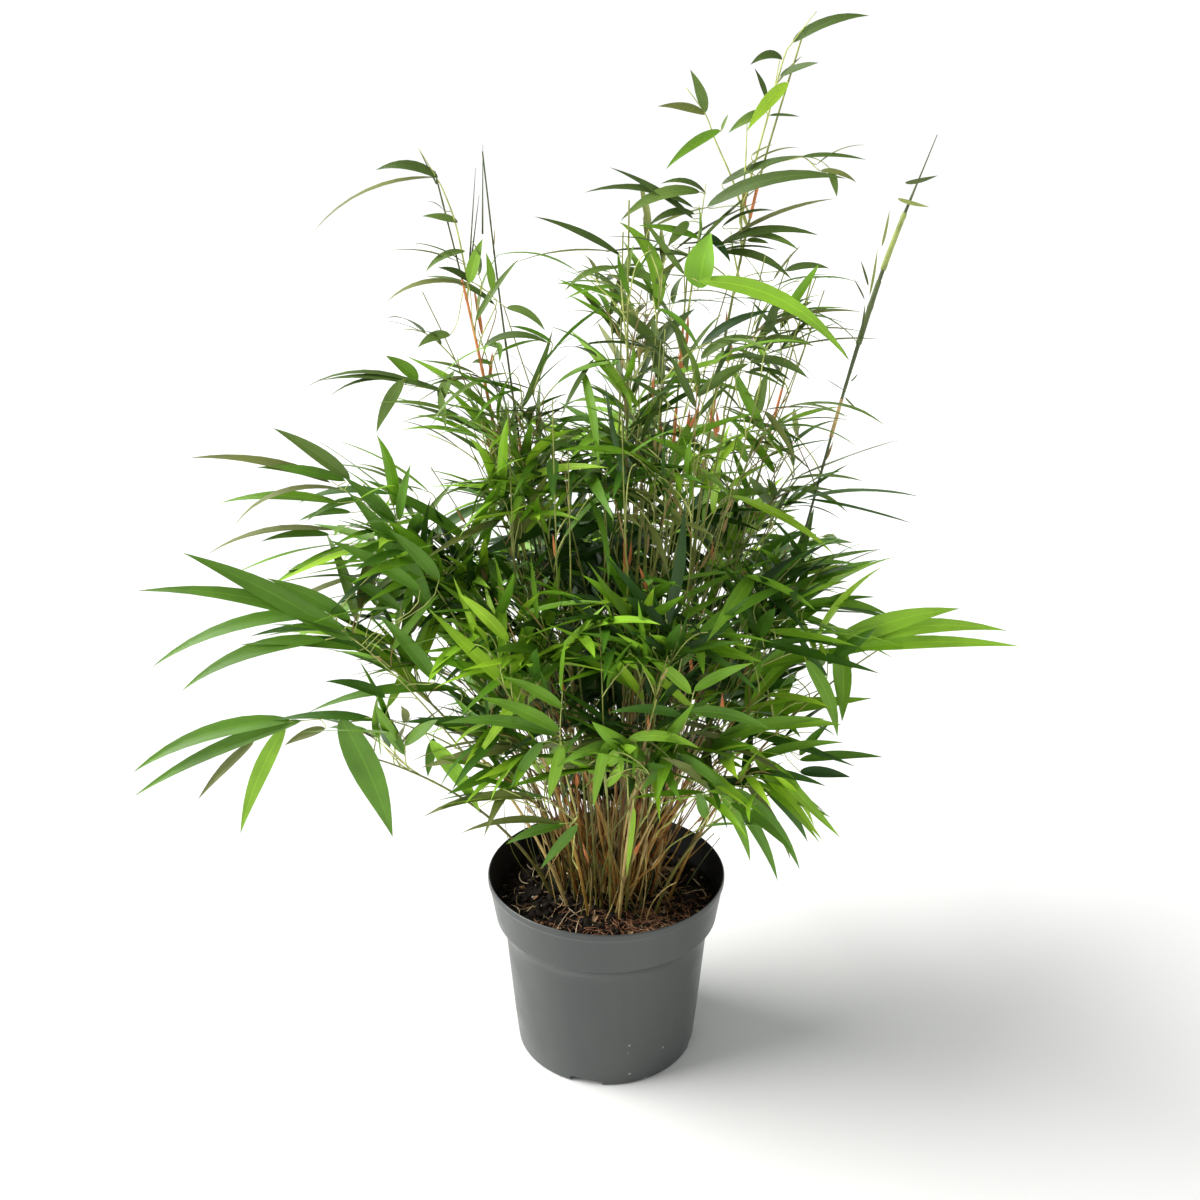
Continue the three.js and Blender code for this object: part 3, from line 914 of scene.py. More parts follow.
def add_front_canes():
    """The slender canes above, each led down to the clump's foot."""
    for line in FRONT_CANES:
        upper = np.array(line) * MM
        foot = on_soil(CLUMP_MIDDLE + 0.45 * (upper[0, :2] - CLUMP_MIDDLE))
        low = foot + (upper[0] - foot) * [0.35, 0.35, 0.5]
        radii = np.linspace(1.0, 0.4, 6) * MM
        add_cane(np.vstack([foot, low, upper]), radii, "olive", "green", rng.uniform(0.2, 0.3), 6)


add_clump_canes(165)
add_dead_canes()
add_front_canes()


# ---- twigs and sprays

twigs = {"twig_green": Heap(), "twig_brown": Heap()}
TWIG_TONES = {"twig_green": (0.50, 0.55, 0.15), "twig_brown": (0.34, 0.22, 0.08)}
LINE_POINTS = np.vstack([line[0] for line in LINES])
LINE_OWNERS = np.concatenate([np.full(len(line[0]), k) for k, line in enumerate(LINES)])
LINE_STEPS = np.concatenate([np.arange(len(line[0])) for line in LINES])


def nearest_stem(point):
    """A place on a cane, near the point and somewhat below it, for a twig to leave from."""
    offset = point - LINE_POINTS
    away = norm(offset, axis=1)
    wrong_way = np.maximum(0, 20 * MM - offset[:, 2]) * 1.6
    low_down = np.maximum(0, 0.165 - LINE_POINTS[:, 2]) * 5
    cost = np.abs(away - 45 * MM) + away * 0.35 + wrong_way + low_down
    order = cost.argsort()[:6]
    pick = order[int(rng.integers(0, 6))]
    return LINE_OWNERS[pick], LINE_STEPS[pick]


def bent_twig(start, start_way, end, end_way, count=9):
    """A twig that leaves along one direction and arrives along another."""
    span = norm(end - start)
    first = start + start_way * span * 0.36
    second = end - end_way * span * 0.36
    return bezier(start, first, second, end, count)


def pick_tone(weights):
    """A tone at random, by its weight."""
    names = list(weights)
    shares = np.array([weights[name] for name in names], dtype=float)
    return names[int(rng.choice(len(names), p=shares / shares.sum()))]


def turned(vector, axis, angle):
    """The vector turned about an axis."""
    axis = unit(axis)
    across = np.cross(axis, vector) * math.sin(angle)
    return vector * math.cos(angle) + across + axis * (axis @ vector) * (1 - math.cos(angle))


# Lines of sight that stay open, so that the background shows between the boughs. Each has x and z at
# its front end, x and z at its back end, and its radius, in mm.
GAPS = [
    (-89, 582, -116, 557, 17), (-91, 510, -120, 460, 17), (-193, 471, -255, 409, 25),
    (-202, 363, -266, 275, 27), (115, 320, 154, 209, 15), (150, 410, 200, 326, 15),
    (-73, 261, -96, 129, 15), (-106, 600, -139, 580, 14), (166, 428, 220, 352, 14),
    (-41, 606, -52, 588, 17), (102, 628, 137, 618, 15), (-176, 349, -233, 247, 17),
    (131, 510, 175, 460, 14), (-205, 320, -271, 209, 18), (-124, 349, -163, 247, 12),
    (-97, 261, -127, 129, 14), (-171, 431, -225, 355, 11), (-94, 481, -123, 422, 14),
]
GAP_REACH = 120
GAP_TUBES = [
    (np.array([a, -GAP_REACH, b]) * MM, np.array([c - a, 2 * GAP_REACH, d - b]) * MM, radius * MM)
    for a, b, c, d, radius in GAPS
]


def in_gap(point):
    for start, axis, radius in GAP_TUBES:
        along = (point[1] - start[1]) / axis[1]
        if 0 < along < 1 and norm(point - (start + axis * along)) < radius:
            return True
    return False


def near_mass(tip, name, room):
    """Whether a leaf's tip keeps to the outline of its mass, or to another mass beside it."""
    past_box = np.any(tip <= BOX_LOW - PAST_BOX) or np.any(tip >= BOX_HIGH + PAST_BOX)
    if past_box or in_gap(tip):
        return False
    if name is None:
        return True
    _place, _normal, _index, distance = TREES[name].find_nearest(Vector(tip))
    return distance < room or any(inside(TREES[other], tip) for other in [name] + BESIDE[name])


def boxes_meet(first, second):
    low_a, high_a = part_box(first)
    low_b, high_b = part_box(second)
    return all(low_a[k] < high_b[k] + 10 * MM and low_b[k] < high_a[k] + 10 * MM for k in range(3))


BESIDE = {a: [b for b in MASS_NODES if b != a and boxes_meet(a, b)] for a in MASS_NODES}


def leafy_end(path, style, tone, leaves, mass=None):
    """Leaves in two ranks along a twig's end, with the last one in line with it."""
    steps = norm(np.diff(path, axis=0), axis=1)
    travelled = np.concatenate([[0], np.cumsum(steps)])
    total = travelled[-1]
    spacing = style["spacing"] * rng.uniform(0.8, 1.2)
    side = 1 if rng.uniform() < 0.5 else -1
    for k in range(leaves):
        place = total - k * spacing * (0.5 if k == 1 else 1.0)
        if place < 4 * MM:
            break
        base = np.array([np.interp(place, travelled, path[:, axis]) for axis in range(3)])
        before = np.array([np.interp(place - 3 * MM, travelled, path[:, axis]) for axis in range(3)])
        ahead = unit(base - before)
        across = unit(np.cross(ahead, UP) + 1e-6)
        over = np.cross(across, ahead)
        over = turned(over, ahead, rng.normal(0, style["roll"]))
        side = -side
        length = rng.uniform(*style["length"]) * (1.0 - 0.05 * k + 0.04 * (k in (1, 2)))
        width = length * rng.uniform(*style["slim"])
        room = rng.uniform(6, 26) * MM
        for attempt in range(5):
            spread = 0.0 if k == 0 and attempt < 2 else side * rng.uniform(*style["spread"])
            heading = turned(ahead, over, spread)
            heading = turned(heading, np.cross(heading, over), -rng.uniform(*style["dip"]))
            droop = rng.uniform(*style["droop"])
            half_way = base + heading * length * 0.55 - over * length * droop * 0.12
            tip = base + heading * length * 0.93 - over * length * droop * 0.4
            if not in_gap(half_way) and near_mass(tip, mass, room):
                break
            length *= 0.94
        else:
            continue
        fold, sway = rng.uniform(0.15, 0.5), rng.normal(0, 0.16)
        add_leaf(tone, base, heading, over, length, width, droop, fold, sway)


STYLES = {
    "skirt": dict(
        sprays=25, leaves=(3, 6), length=(0.055, 0.1), slim=(0.1, 0.14), spacing=0.010, roll=0.4,
        spread=(0.3, 0.9), dip=(-0.1, 0.4), droop=(0.1, 0.7), rise=(-0.5, 0.15),
        tones=dict(forest=4, mid=4, grass=4, fresh=3, lime=2, deep=3, olive=1),
    ),
    "belt": dict(
        sprays=33, leaves=(3, 6), length=(0.055, 0.1), slim=(0.09, 0.13), spacing=0.010, roll=0.4,
        spread=(0.3, 0.9), dip=(-0.15, 0.35), droop=(0.05, 0.6), rise=(-0.25, 0.4),
        tones=dict(deep=4.5, forest=4, mid=3, grass=3.5, fresh=4, lime=2.5),
    ),
    "shoulder": dict(
        sprays=28, leaves=(3, 5), length=(0.05, 0.09), slim=(0.07, 0.115), spacing=0.012, roll=0.3,
        spread=(0.2, 0.8), dip=(-0.15, 0.3), droop=(0.2, 0.9), rise=(-0.1, 0.4),
        tones=dict(deep=1, forest=2, moss=2, mid=3, grass=5, fresh=4.5, lime=3, olive=2, sage=3),
    ),
    "upper": dict(
        sprays=18, leaves=(2, 5), length=(0.045, 0.08), slim=(0.075, 0.105), spacing=0.009, roll=0.2,
        spread=(0.3, 0.9), dip=(-0.1, 0.25), droop=(0.3, 0.95), rise=(-0.15, 0.2),
        tones=dict(moss=6, mid=2, olive=4, sage=4, grass=3, fresh=2, lime=0.5),
    ),
    "crest": dict(
        sprays=5, leaves=(2, 4), length=(0.04, 0.07), slim=(0.08, 0.12), spacing=0.009, roll=0.3,
        spread=(0.2, 0.7), dip=(-0.1, 0.25), droop=(0.1, 0.5), rise=(0.0, 0.4),
        tones=dict(moss=4, mid=1, grass=2, olive=2, sage=2),
    ),
    "spray": dict(
        sprays=7, leaves=(3, 5), length=(0.06, 0.095), slim=(0.11, 0.15), spacing=0.012, roll=0.35,
        spread=(0.2, 0.75), dip=(-0.05, 0.3), droop=(0.1, 0.5), rise=(-0.15, 0.15),
        tones=dict(mid=4, grass=4, forest=2),
    ),
    "fringe": dict(
        leaves=(3, 5), length=(0.055, 0.095), slim=(0.095, 0.13), spacing=0.011, roll=0.3,
        spread=(0.15, 0.6), dip=(-0.1, 0.25), droop=(0.1, 0.55), rise=(-0.2, 0.15),
        tones=dict(deep=0.5, forest=3, mid=4, grass=4, fresh=1, olive=2, sage=1),
    ),
    # The inner style's leaves take only the deep and forest tones: painted shade for the inside of the
    # crown.
    "inner": dict(
        leaves=(3, 6), length=(0.05, 0.085), slim=(0.11, 0.15), spacing=0.010, roll=0.4,
        spread=(0.3, 0.9), dip=(-0.15, 0.35), droop=(0.05, 0.6), rise=(-0.2, 0.4),
        tones=dict(deep=5, forest=3),
    ),
}

# How full a mass is, where that is not 1. The sprays that show on their own fill the rest of these.
FULLNESS = {
    "spray_left_low": 0.0, "spray_left_middle": 0.0, "spray_left_high": 0.2, "spray_left_top": 0.0,
    "spray_right": 0.0, "spray_right_low": 0.0, "crest_left": 0.2, "crest_right": 0.0,
    "crest_top": 0.0, "crest_top_left": 0.0, "upper_right": 0.6, "upper_left": 0.6,
    "upper_front": 0.5, "upper_centre": 0.5, "shoulder_right": 0.8, "belt_right": 0.9,
    "skirt_back": 1.3, "skirt_right": 0.5, "skirt_left": 0.7, "skirt_front_left": 0.8,
}

# Leafy places between the masses, in mm: style, middle, half size and how many sprays.
THICKETS = [
    ("upper", (-64, 0, 535), (28, 30, 36), 8), ("upper", (-46, -10, 478), (32, 30, 45), 11),
    ("shoulder", (-78, -20, 440), (30, 25, 30), 6), ("fringe", (-158, -52, 425), (32, 28, 40), 15),
    ("fringe", (-160, -62, 352), (28, 22, 38), 13), ("fringe", (-156, -64, 306), (20, 16, 16), 3),
    ("upper", (22, 0, 540), (26, 20, 20), 4), ("crest", (40, 0, 628), (18, 12, 22), 4),
    ("fringe", (142, 0, 462), (12, 12, 14), 2), ("upper", (-134, -16, 458), (16, 14, 14), 4),
    ("fringe", (-200, -16, 276), (14, 14, 12), 3), ("upper", (118, -8, 518), (18, 14, 16), 4),
    ("shoulder", (36, -24, 544), (14, 12, 12), 2), ("shoulder", (-48, -24, 460), (16, 12, 16), 3),
    ("upper", (-72, -20, 540), (12, 12, 12), 2), ("belt", (112, -16, 358), (20, 18, 18), 5),
    # The inner thickets fill the inside of the crown with dark leaves: painted shade.
    ("crest", (60, -6, 628), (10, 8, 10), 1), ("inner", (8, 46, 214), (56, 22, 20), 16),
    ("inner", (10, 20, 330), (62, 40, 75), 38), ("inner", (0, 25, 430), (60, 30, 50), 16),
]
TONE_ORDER = ["deep", "forest", "mid", "grass", "fresh", "lime"]


def tone_with_painted_light(weights, end):
    """A tone for one spray, with painted light and shade: paler ones in front, as if lit, and darker ones
    low inside the crown, as if shaded.
    """
    tone = pick_tone(weights)
    shift = 0
    # Painted light: sprays ending at the front are made a step paler, at random.
    if end[1] < -50 * MM and rng.uniform() < 0.45:
        shift = 1
    # Painted shade: sprays low in the middle of the crown are made a step darker, at random.
    elif np.hypot(end[0] - CLUMP_MIDDLE[0], end[1]) < 50 * MM and end[2] < 0.43 and rng.uniform() < 0.6:
        shift = -1
    if tone not in TONE_ORDER:
        return tone
    place = TONE_ORDER.index(tone) + shift
    return TONE_ORDER[min(max(place, 0), len(TONE_ORDER) - 1)]


def grow_spray_to(end, middle, style, mass=None):
    """One leafy twig from the nearest cane to an end, pointing outward."""
    if in_gap(end):
        return
    owner, step = nearest_stem(end)
    path = LINES[owner][0]
    start = path[step]
    stem_way = unit(path[min(step + 2, len(path) - 1)] - path[max(step - 2, 0)])
    outward = np.array([end[0] - 0.01, end[1] - 0.01, 0.0])
    outward = unit(outward) + 0.5 * unit(end - middle) + rng.normal(0, 0.45, 3) * [1, 1, 0.3]
    outward[2] += rng.uniform(*style["rise"])
    end_way = unit(outward)
    start_way = unit(stem_way * 0.8 + unit(end - start))
    tone = tone_with_painted_light(style["tones"], end)
    leaves = int(rng.integers(style["leaves"][0], style["leaves"][1] + 1))
    twig = bent_twig(start, start_way, end, end_way)
    kind = "twig_brown" if rng.uniform() < 0.2 else "twig_green"
    twigs[kind].add_tube(twig, np.linspace(0.55, 0.32, len(twig)) * MM, 5)
    leafy_end(twig, style, tone, leaves, mass)


def grow_mass(name):
    """Fills one mass with leafy twigs."""
    style = STYLES[name.split("_")[0]]
    low, high = (np.array(corner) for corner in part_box(name))
    size = float(np.prod(high - low)) ** (1 / 3)
    count = round(style["sprays"] * (size / 0.1) ** 1.3 * FULLNESS.get(name, 1.0))
    for end in points_in(name, count):
        grow_spray_to(end, (low + high) / 2, style, name)


def grow_thicket(kind, middle, half_size, count):
    """Fills a round place between the masses."""
    middle = np.array(middle) * MM
    for _ in range(count):
        offset = unit(rng.normal(size=3)) * rng.uniform(0.05, 1) ** 0.5 * np.array(half_size) * MM
        grow_spray_to(middle + offset, middle - [0.05 * np.sign(middle[0]), 0, 0], STYLES[kind])


# ---- sprays that show on their own

# Each spray is a twig's line and its leaves, in mm. A leaf is its base, its tip, its width, its tone,
# the angle through which it arches over, and how far its upper side is rolled to the front.
SHOWN_SPRAYS = {
    "top_tip": ([(93, 6, 663), (106, 5, 714), (115, 4, 750), (120, 4, 759), (134, 0, 777)], [
        (120, 4, 759, 168, 0, 775, 10, "forest", 40, 50), (113, 4, 739, 136, -8, 746, 8, "forest", 20, 50),
        (117, -6, 734, 90, -14, 705, 10, "lime", 25, 75), (105, 6, 725, 96, 4, 744, 6, "forest", 15, 60),
        (114, 4, 749, 94, -4, 745, 7, "forest", 90, 50), (104, 0, 717, 79, -6, 704, 8, "mid", 30, 55),
        (107, 4, 715, 127, 0, 714, 5, "forest", 10, 30), (96, 4, 690, 110, 0, 697, 4, "olive", 15, 30),
    ]),
    "top_second": ([(92, 6, 655), (100, 8, 690), (108, 8, 720), (113, 6, 752)], [
        (112, 6, 735, 128, 8, 752, 4, "olive", 15, 20),
    ]),
    "top_left": ([(92, 8, 655), (84, 9, 676), (72, 8, 700), (65, 8, 716), (52, 6, 732)], [
        (65, 8, 717, 54, 2, 743, 10, "mid", 15, 85), (65, 8, 716, 33, 4, 721, 8, "olive", 30, 55),
        (75, 6, 706, 38, -6, 682, 8, "grass", 30, 65), (76, 6, 706, 80, 4, 716, 4, "mid", 10, 60),
    ]),
    "top_fine": ([(90, 4, 650), (92, 2, 680), (92, 0, 712)], []),
    "right_high": ([(91, 4, 640), (92, 2, 662), (104, -2, 682), (128, -6, 689)], [
        (77, 6, 672, 130, -10, 690, 9, "forest", 25, 45),
        (128, -8, 689, 170, -12, 687, 6, "forest", 20, 35),
        (67, -4, 658, 155, -20, 677, 12, "forest", 45, 55),
        (140, -12, 680, 163, -18, 673, 6, "olive", 40, 40), (92, 0, 682, 128, 0, 695, 5, "olive", 40, 15),
        (138, -8, 684, 172, -6, 696, 4, "olive", 45, 10), (78, 2, 645, 112, -6, 655, 6, "forest", 50, 25),
        (146, -10, 682, 152, -12, 664, 6, "mid", 20, 70),
    ]),
    "right_second": ([(91, 4, 610), (86, 4, 630), (84, 4, 642)], [
        (86, 4, 639, 151, -10, 663, 7, "olive", 25, 30), (78, 4, 634, 142, -10, 640, 9, "forest", 45, 45),
        (94, 4, 639, 129, -10, 630, 7, "mid", 45, 40), (80, 4, 628, 125, -10, 611, 8, "forest", 55, 45),
        (79, 0, 630, 118, 0, 629, 5, "forest", 30, 20), (95, 2, 636, 110, 0, 634, 6, "mid", 20, 40),
        (122, 0, 616, 151, -6, 618, 8, "forest", 40, 40), (114, 0, 610, 134, 6, 634, 3, "olive", 15, 20),
    ]),
    "left_of_top": ([(56, -2, 590), (60, -2, 625), (63, 0, 648), (66, 2, 672)], [
        (58, 0, 650, 1, -10, 683, 8, "forest", 20, 45), (58, 0, 657, -15, -10, 667, 9, "forest", 45, 35),
        (62, 0, 667, 9, -12, 650, 10, "mid", 60, 55), (59, 4, 653, 28, -4, 645, 7, "forest", 70, 45),
        (66, 0, 666, 36, -10, 672, 6, "forest", 70, 40), (55, 0, 648, 40, -8, 632, 8, "mid", 20, 70),
        (63, 0, 637, 20, -8, 646, 8, "grass", 20, 45), (62, -4, 636, 61, -6, 660, 10, "fresh", 10, 80),
        (61, -20, 606, 68, -26, 642, 29, "grass", 8, 88),
        (60, -30, 611, 160, -50, 566, 13, "fresh", 58, 72), (66, 0, 640, 84, -4, 622, 7, "deep", 40, 60),
    ]),
    "middle_high": ([(14, -20, 560), (10, -10, 600), (8, -6, 628)], [
        (33, -6, 590, 12, -16, 649, 14, "fresh", 80, 78), (9, 0, 626, -49, -10, 652, 8, "forest", 20, 45),
        (9, 0, 628, -69, -10, 619, 6, "olive", 30, 10), (7, 0, 618, -29, -10, 603, 6, "mid", 60, 40),
        (7, 0, 616, 40, -8, 606, 8, "mid", 40, 60), (20, 0, 592, -36, -10, 609, 7, "grass", 25, 35),
        (37, 0, 563, -2, -14, 596, 11, "mid", 25, 65), (36, -4, 566, 60, -8, 592, 9, "forest", 25, 60),
        (12, 0, 604, 18, -6, 634, 12, "mid", 10, 70), (30, 0, 596, 44, -4, 618, 9, "forest", 15, 70),
    ]),
    "right_middle": ([(84, 6, 520), (92, 8, 552), (104, 8, 570)], [
        (66, 10, 563, 114, 0, 590, 9, "deep", 45, 50), (100, 8, 572, 176, -6, 589, 6, "olive", 40, 30),
        (95, 8, 563, 182, -6, 574, 6, "olive", 40, 10), (110, 8, 558, 194, -6, 570, 6, "olive", 25, 10),
        (101, 8, 553, 140, -4, 543, 8, "mid", 75, 45), (100, 6, 547, 128, -6, 542, 7, "forest", 55, 25),
        (107, 4, 566, 143, -6, 566, 8, "mid", 55, 45), (112, 0, 574, 118, -2, 600, 9, "forest", 10, 80),
        (107, 0, 518, 112, -6, 549, 13, "mid", 10, 86), (66, 4, 556, 104, -4, 572, 9, "mid", 60, 55),
    ]),
    "left_crest": ([
        (-95, -8, 610), (-101, -10, 645), (-108, -10, 666), (-113, -10, 676), (-124, -10, 694),
    ], [
        (-112, -10, 676, -152, -14, 681, 9, "forest", 62, 50),
        (-113, -10, 676, -196, -18, 640, 9, "olive", 48, 15),
        (-100, -10, 648, -123, -14, 652, 7, "mid", 25, 50),
        (-93, -14, 609, -83, -18, 638, 11, "fresh", 10, 85),
        (-78, -14, 604, -81, -16, 629, 8, "fresh", 10, 80),
        (-96, -10, 629, -122, -16, 616, 7, "mid", 60, 40),
        (-95, -10, 607, -150, -18, 595, 8, "olive", 62, 20),
        (-100, -10, 622, -149, -18, 629, 5, "olive", 35, 10),
        (-93, -10, 609, -114, -14, 619, 7, "forest", 45, 45),
        (-69, -8, 592, -43, -14, 577, 7, "mid", 70, 45),
        (-85, -12, 566, -39, -20, 567, 7, "forest", 80, 40),
        (-108, -10, 574, -129, -20, 567, 8, "mid", 60, 55),
        (-109, -10, 655, -121, -12, 661, 3, "olive", 60, 10),
    ]),
    "left_top_spray": ([(-75, -2, 500), (-96, -6, 528), (-120, -8, 536), (-148, -8, 541)], [
        (-110, -8, 533, -200, -12, 543, 9, "forest", 35, 25),
        (-132, -6, 543, -152, -16, 561, 11, "grass", 15, 70),
        (-141, -14, 544, -161, -22, 509, 10, "mid", 25, 75),
        (-117, -10, 529, -105, -16, 551, 11, "mid", 12, 80),
        (-126, -6, 537, -212, -10, 536, 7, "forest", 60, 15),
        (-140, -10, 542, -194, -14, 531, 7, "forest", 55, 15),
        (-116, -12, 536, -112, -18, 510, 9, "mid", 15, 75),
    ]),
    "left_high_spray": ([(-100, -30, 358), (-128, -40, 412), (-156, -46, 454), (-188, -48, 480)], [
        (-175, -50, 482, -222, -58, 519, 12, "mid", 15, 60),
        (-189, -48, 479, -281, -56, 498, 10, "olive", 30, 30),
        (-179, -46, 480, -236, -56, 492, 9, "mid", 20, 55),
        (-183, -46, 474, -256, -56, 447, 8, "olive", 70, 15),
        (-186, -44, 464, -265, -50, 466, 9, "grass", 30, 40),
        (-168, -40, 465, -208, -46, 451, 8, "mid", 45, 30),
        (-146, -50, 450, -178, -54, 485, 11, "mid", 15, 70),
        (-123, -60, 391, -173, -66, 479, 16, "mid", 22, 75),
        (-143, -50, 453, -133, -52, 493, 9, "mid", 12, 75),
        (-190, -46, 445, -279, -50, 427, 8, "olive", 45, 20),
        (-193, -44, 441, -240, -50, 438, 8, "mid", 30, 35),
        (-178, -40, 456, -214, -44, 451, 7, "mid", 40, 35),
        (-150, -44, 470, -215, -40, 462, 8, "forest", 45, 30),
    ]),
    "left_middle_spray": ([(-99, -60, 276), (-130, -78, 330), (-158, -92, 370), (-176, -100, 390)], [
        (-171, -100, 384, -273, -108, 448, 17, "mid", 14, 66),
        (-174, -100, 391, -305, -110, 423, 13, "mid", 34, 45),
        (-171, -96, 397, -222, -104, 429, 11, "mid", 18, 60),
        (-184, -98, 401, -303, -108, 368, 12, "mid", 44, 40),
        (-175, -96, 391, -237, -104, 388, 8, "forest", 22, 30),
        (-188, -100, 384, -285, -108, 351, 13, "mid", 45, 42),
        (-166, -98, 376, -245, -104, 382, 8, "mid", 20, 30),
        (-154, -90, 369, -203, -96, 386, 8, "forest", 20, 45),
        (-117, -92, 352, -152, -98, 402, 12, "mid", 15, 70),
        (-113, -80, 420, -144, -86, 457, 11, "mid", 15, 70),
        (-142, -70, 395, -182, -72, 422, 10, "mid", 15, 60),
        (-125, -88, 415, -183, -90, 451, 11, "mid", 15, 60),
        (-154, -80, 334, -194, -84, 348, 9, "forest", 40, 40),
    ]),
    "left_low_spray": ([
        (-64, -50, 247), (-108, -64, 288), (-150, -70, 311), (-186, -72, 315), (-224, -74, 313),
    ], [
        (-223, -74, 314, -337, -80, 278, 14, "mid", 40, 50),
        (-215, -74, 314, -338, -82, 260, 12, "mid", 22, 55),
        (-227, -74, 310, -266, -80, 228, 14, "fresh", 18, 78),
        (-188, -72, 315, -154, -78, 224, 27, "mid", 16, 84),
        (-250, -74, 298, -294, -78, 254, 8, "olive", 15, 60),
        (-200, -70, 306, -229, -74, 295, 8, "olive", 25, 50),
        (-162, -68, 318, -161, -72, 283, 8, "fresh", 15, 75),
        (-158, -66, 314, -144, -70, 284, 8, "mid", 15, 75),
        (-104, -66, 334, -212, -68, 318, 10, "mid", 35, 35),
        (-76, -72, 302, -145, -76, 314, 10, "forest", 30, 40),
        (-164, -72, 313, -236, -74, 314, 9, "forest", 25, 30),
        (-122, -80, 303, -127, -84, 275, 9, "mid", 15, 75),
        (-123, -90, 306, -88, -96, 253, 14, "fresh", 22, 80),
    ]),
    "right_spray": ([(112, -14, 330), (136, -20, 344), (156, -24, 350), (170, -26, 354)], [
        (167, -26, 353, 290, -30, 368, 15, "fresh", 34, 62),
        (176, -26, 350, 300, -34, 356, 12, "fresh", 16, 55),
        (166, -24, 352, 254, -30, 384, 18, "fresh", 24, 66),
        (170, -30, 356, 175, -34, 295, 17, "grass", 14, 84),
        (145, -34, 344, 172, -40, 286, 12, "grass", 34, 78),
        (143, -10, 378, 209, -16, 372, 9, "grass", 45, 45),
        (146, -10, 376, 198, -14, 386, 7, "mid", 20, 30), (147, -20, 257, 210, -24, 262, 9, "mid", 22, 45),
        (146, -30, 252, 184, -34, 250, 10, "deep", 22, 55),
        (147, -20, 261, 168, -24, 291, 8, "mid", 15, 60),
    ]),
    "right_low_spray": ([(48, -40, 215), (66, -62, 248), (84, -78, 264), (104, -80, 266)], [
        (91, -84, 266, 140, -92, 206, 10, "mid", 35, 62), (84, -80, 264, 125, -90, 195, 10, "mid", 30, 66),
        (80, -84, 265, 104, -90, 211, 10, "grass", 25, 70),
        (99, -76, 266, 134, -84, 209, 7, "olive", 28, 60),
        (112, -72, 262, 147, -76, 219, 9, "forest", 30, 60),
        (67, -70, 265, 140, -74, 250, 9, "deep", 35, 40),
        (78, -60, 292, 156, -64, 312, 12, "grass", 28, 55),
        (105, -60, 276, 170, -64, 293, 9, "grass", 30, 40),
        (96, -66, 270, 158, -72, 262, 9, "forest", 30, 40),
    ]),
    "front_sprays": ([(16, -60, 236), (14, -92, 286), (14, -106, 312)], [
        (18, -112, 266, 13, -120, 216, 9, "lime", 8, 84),
        (-1, -112, 316, -10, -120, 269, 11, "fresh", 12, 82),
        (19, -110, 314, 17, -116, 288, 8, "grass", 10, 80),
        (9, -108, 312, 10, -114, 290, 6, "fresh", 10, 75),
        (14, -106, 314, 62, -116, 312, 9, "fresh", 60, 50),
        (12, -108, 312, -34, -118, 300, 9, "grass", 45, 50),
    ]),
    "front_left_sprays": ([(-22, -58, 230), (-30, -92, 286), (-32, -108, 318), (-30, -112, 352)], [
        (-31, -114, 314, -40, -122, 276, 13, "fresh", 8, 84),
        (-30, -116, 353, -27, -120, 392, 9, "grass", 10, 75),
        (-32, -110, 322, -86, -114, 350, 11, "grass", 26, 60),
        (-34, -108, 318, -112, -114, 331, 10, "mid", 40, 55),
        (-44, -106, 312, -67, -110, 279, 9, "mid", 18, 72),
        (-30, -112, 340, -70, -118, 366, 9, "grass", 22, 60),
    ]),
    "front_right_sprays": ([(30, -56, 230), (44, -90, 290), (54, -104, 330), (58, -106, 350)], [
        (56, -104, 334, 110, -108, 324, 10, "mid", 34, 60),
        (52, -104, 330, 0, -114, 338, 8, "forest", 40, 50),
        (58, -106, 350, 96, -110, 372, 9, "grass", 22, 55),
        (56, -106, 348, 24, -112, 378, 10, "fresh", 20, 60),
        (50, -100, 300, 88, -110, 270, 8, "mid", 26, 60), (48, -98, 296, 22, -108, 276, 9, "mid", 26, 60),
    ]),
    "over_the_rim": ([(-26, -34, 180), (-24, -66, 216), (-22, -84, 238)], [
        (-21, -90, 240, -48, -96, 208, 9, "mid", 10, 76), (-30, -84, 238, -73, -88, 224, 9, "mid", 26, 50),
        (-34, -88, 240, -103, -98, 238, 7, "olive", 45, 30),
        (-50, -92, 262, -128, -104, 254, 8, "olive", 50, 35),
    ]),
}


HIGH_UP = 480 * MM  # above this height the leaves are duller
DULLER = {"forest": "moss", "mid": "sage"}


def shown_leaf(base, tip, width, tone, arch, roll):
    """A leaf from one point to another that arches over on its way, its upper side partly to the front."""
    if base[2] > HIGH_UP:
        tone = DULLER.get(tone, tone)
    chord = tip - base
    ahead = unit(chord)
    below = unit(-UP + ahead * (UP @ ahead) + np.array([0, 1e-4, 0]))
    arch, roll = math.radians(arch), math.radians(roll)
    front = np.cross(ahead, below)
    front = front if front[1] < 0 else -front
    over = -below * math.cos(roll) + front * math.sin(roll)
    heading = ahead * math.cos(0.45 * arch) - below * math.sin(0.45 * arch)
    over = unit(over - heading * (over @ heading))
    side = np.cross(heading, over)
    droop = arch * math.cos(roll)
    sway = arch * math.sin(roll) * (1 if side @ below > 0 else -1)
    length = norm(chord) * (1 + 0.05 * arch**2)
    fold = rng.uniform(0.25, 0.5)
    add_leaf(tone, base, heading, over, length, 0.86 * width * MM, droop, fold, sway)


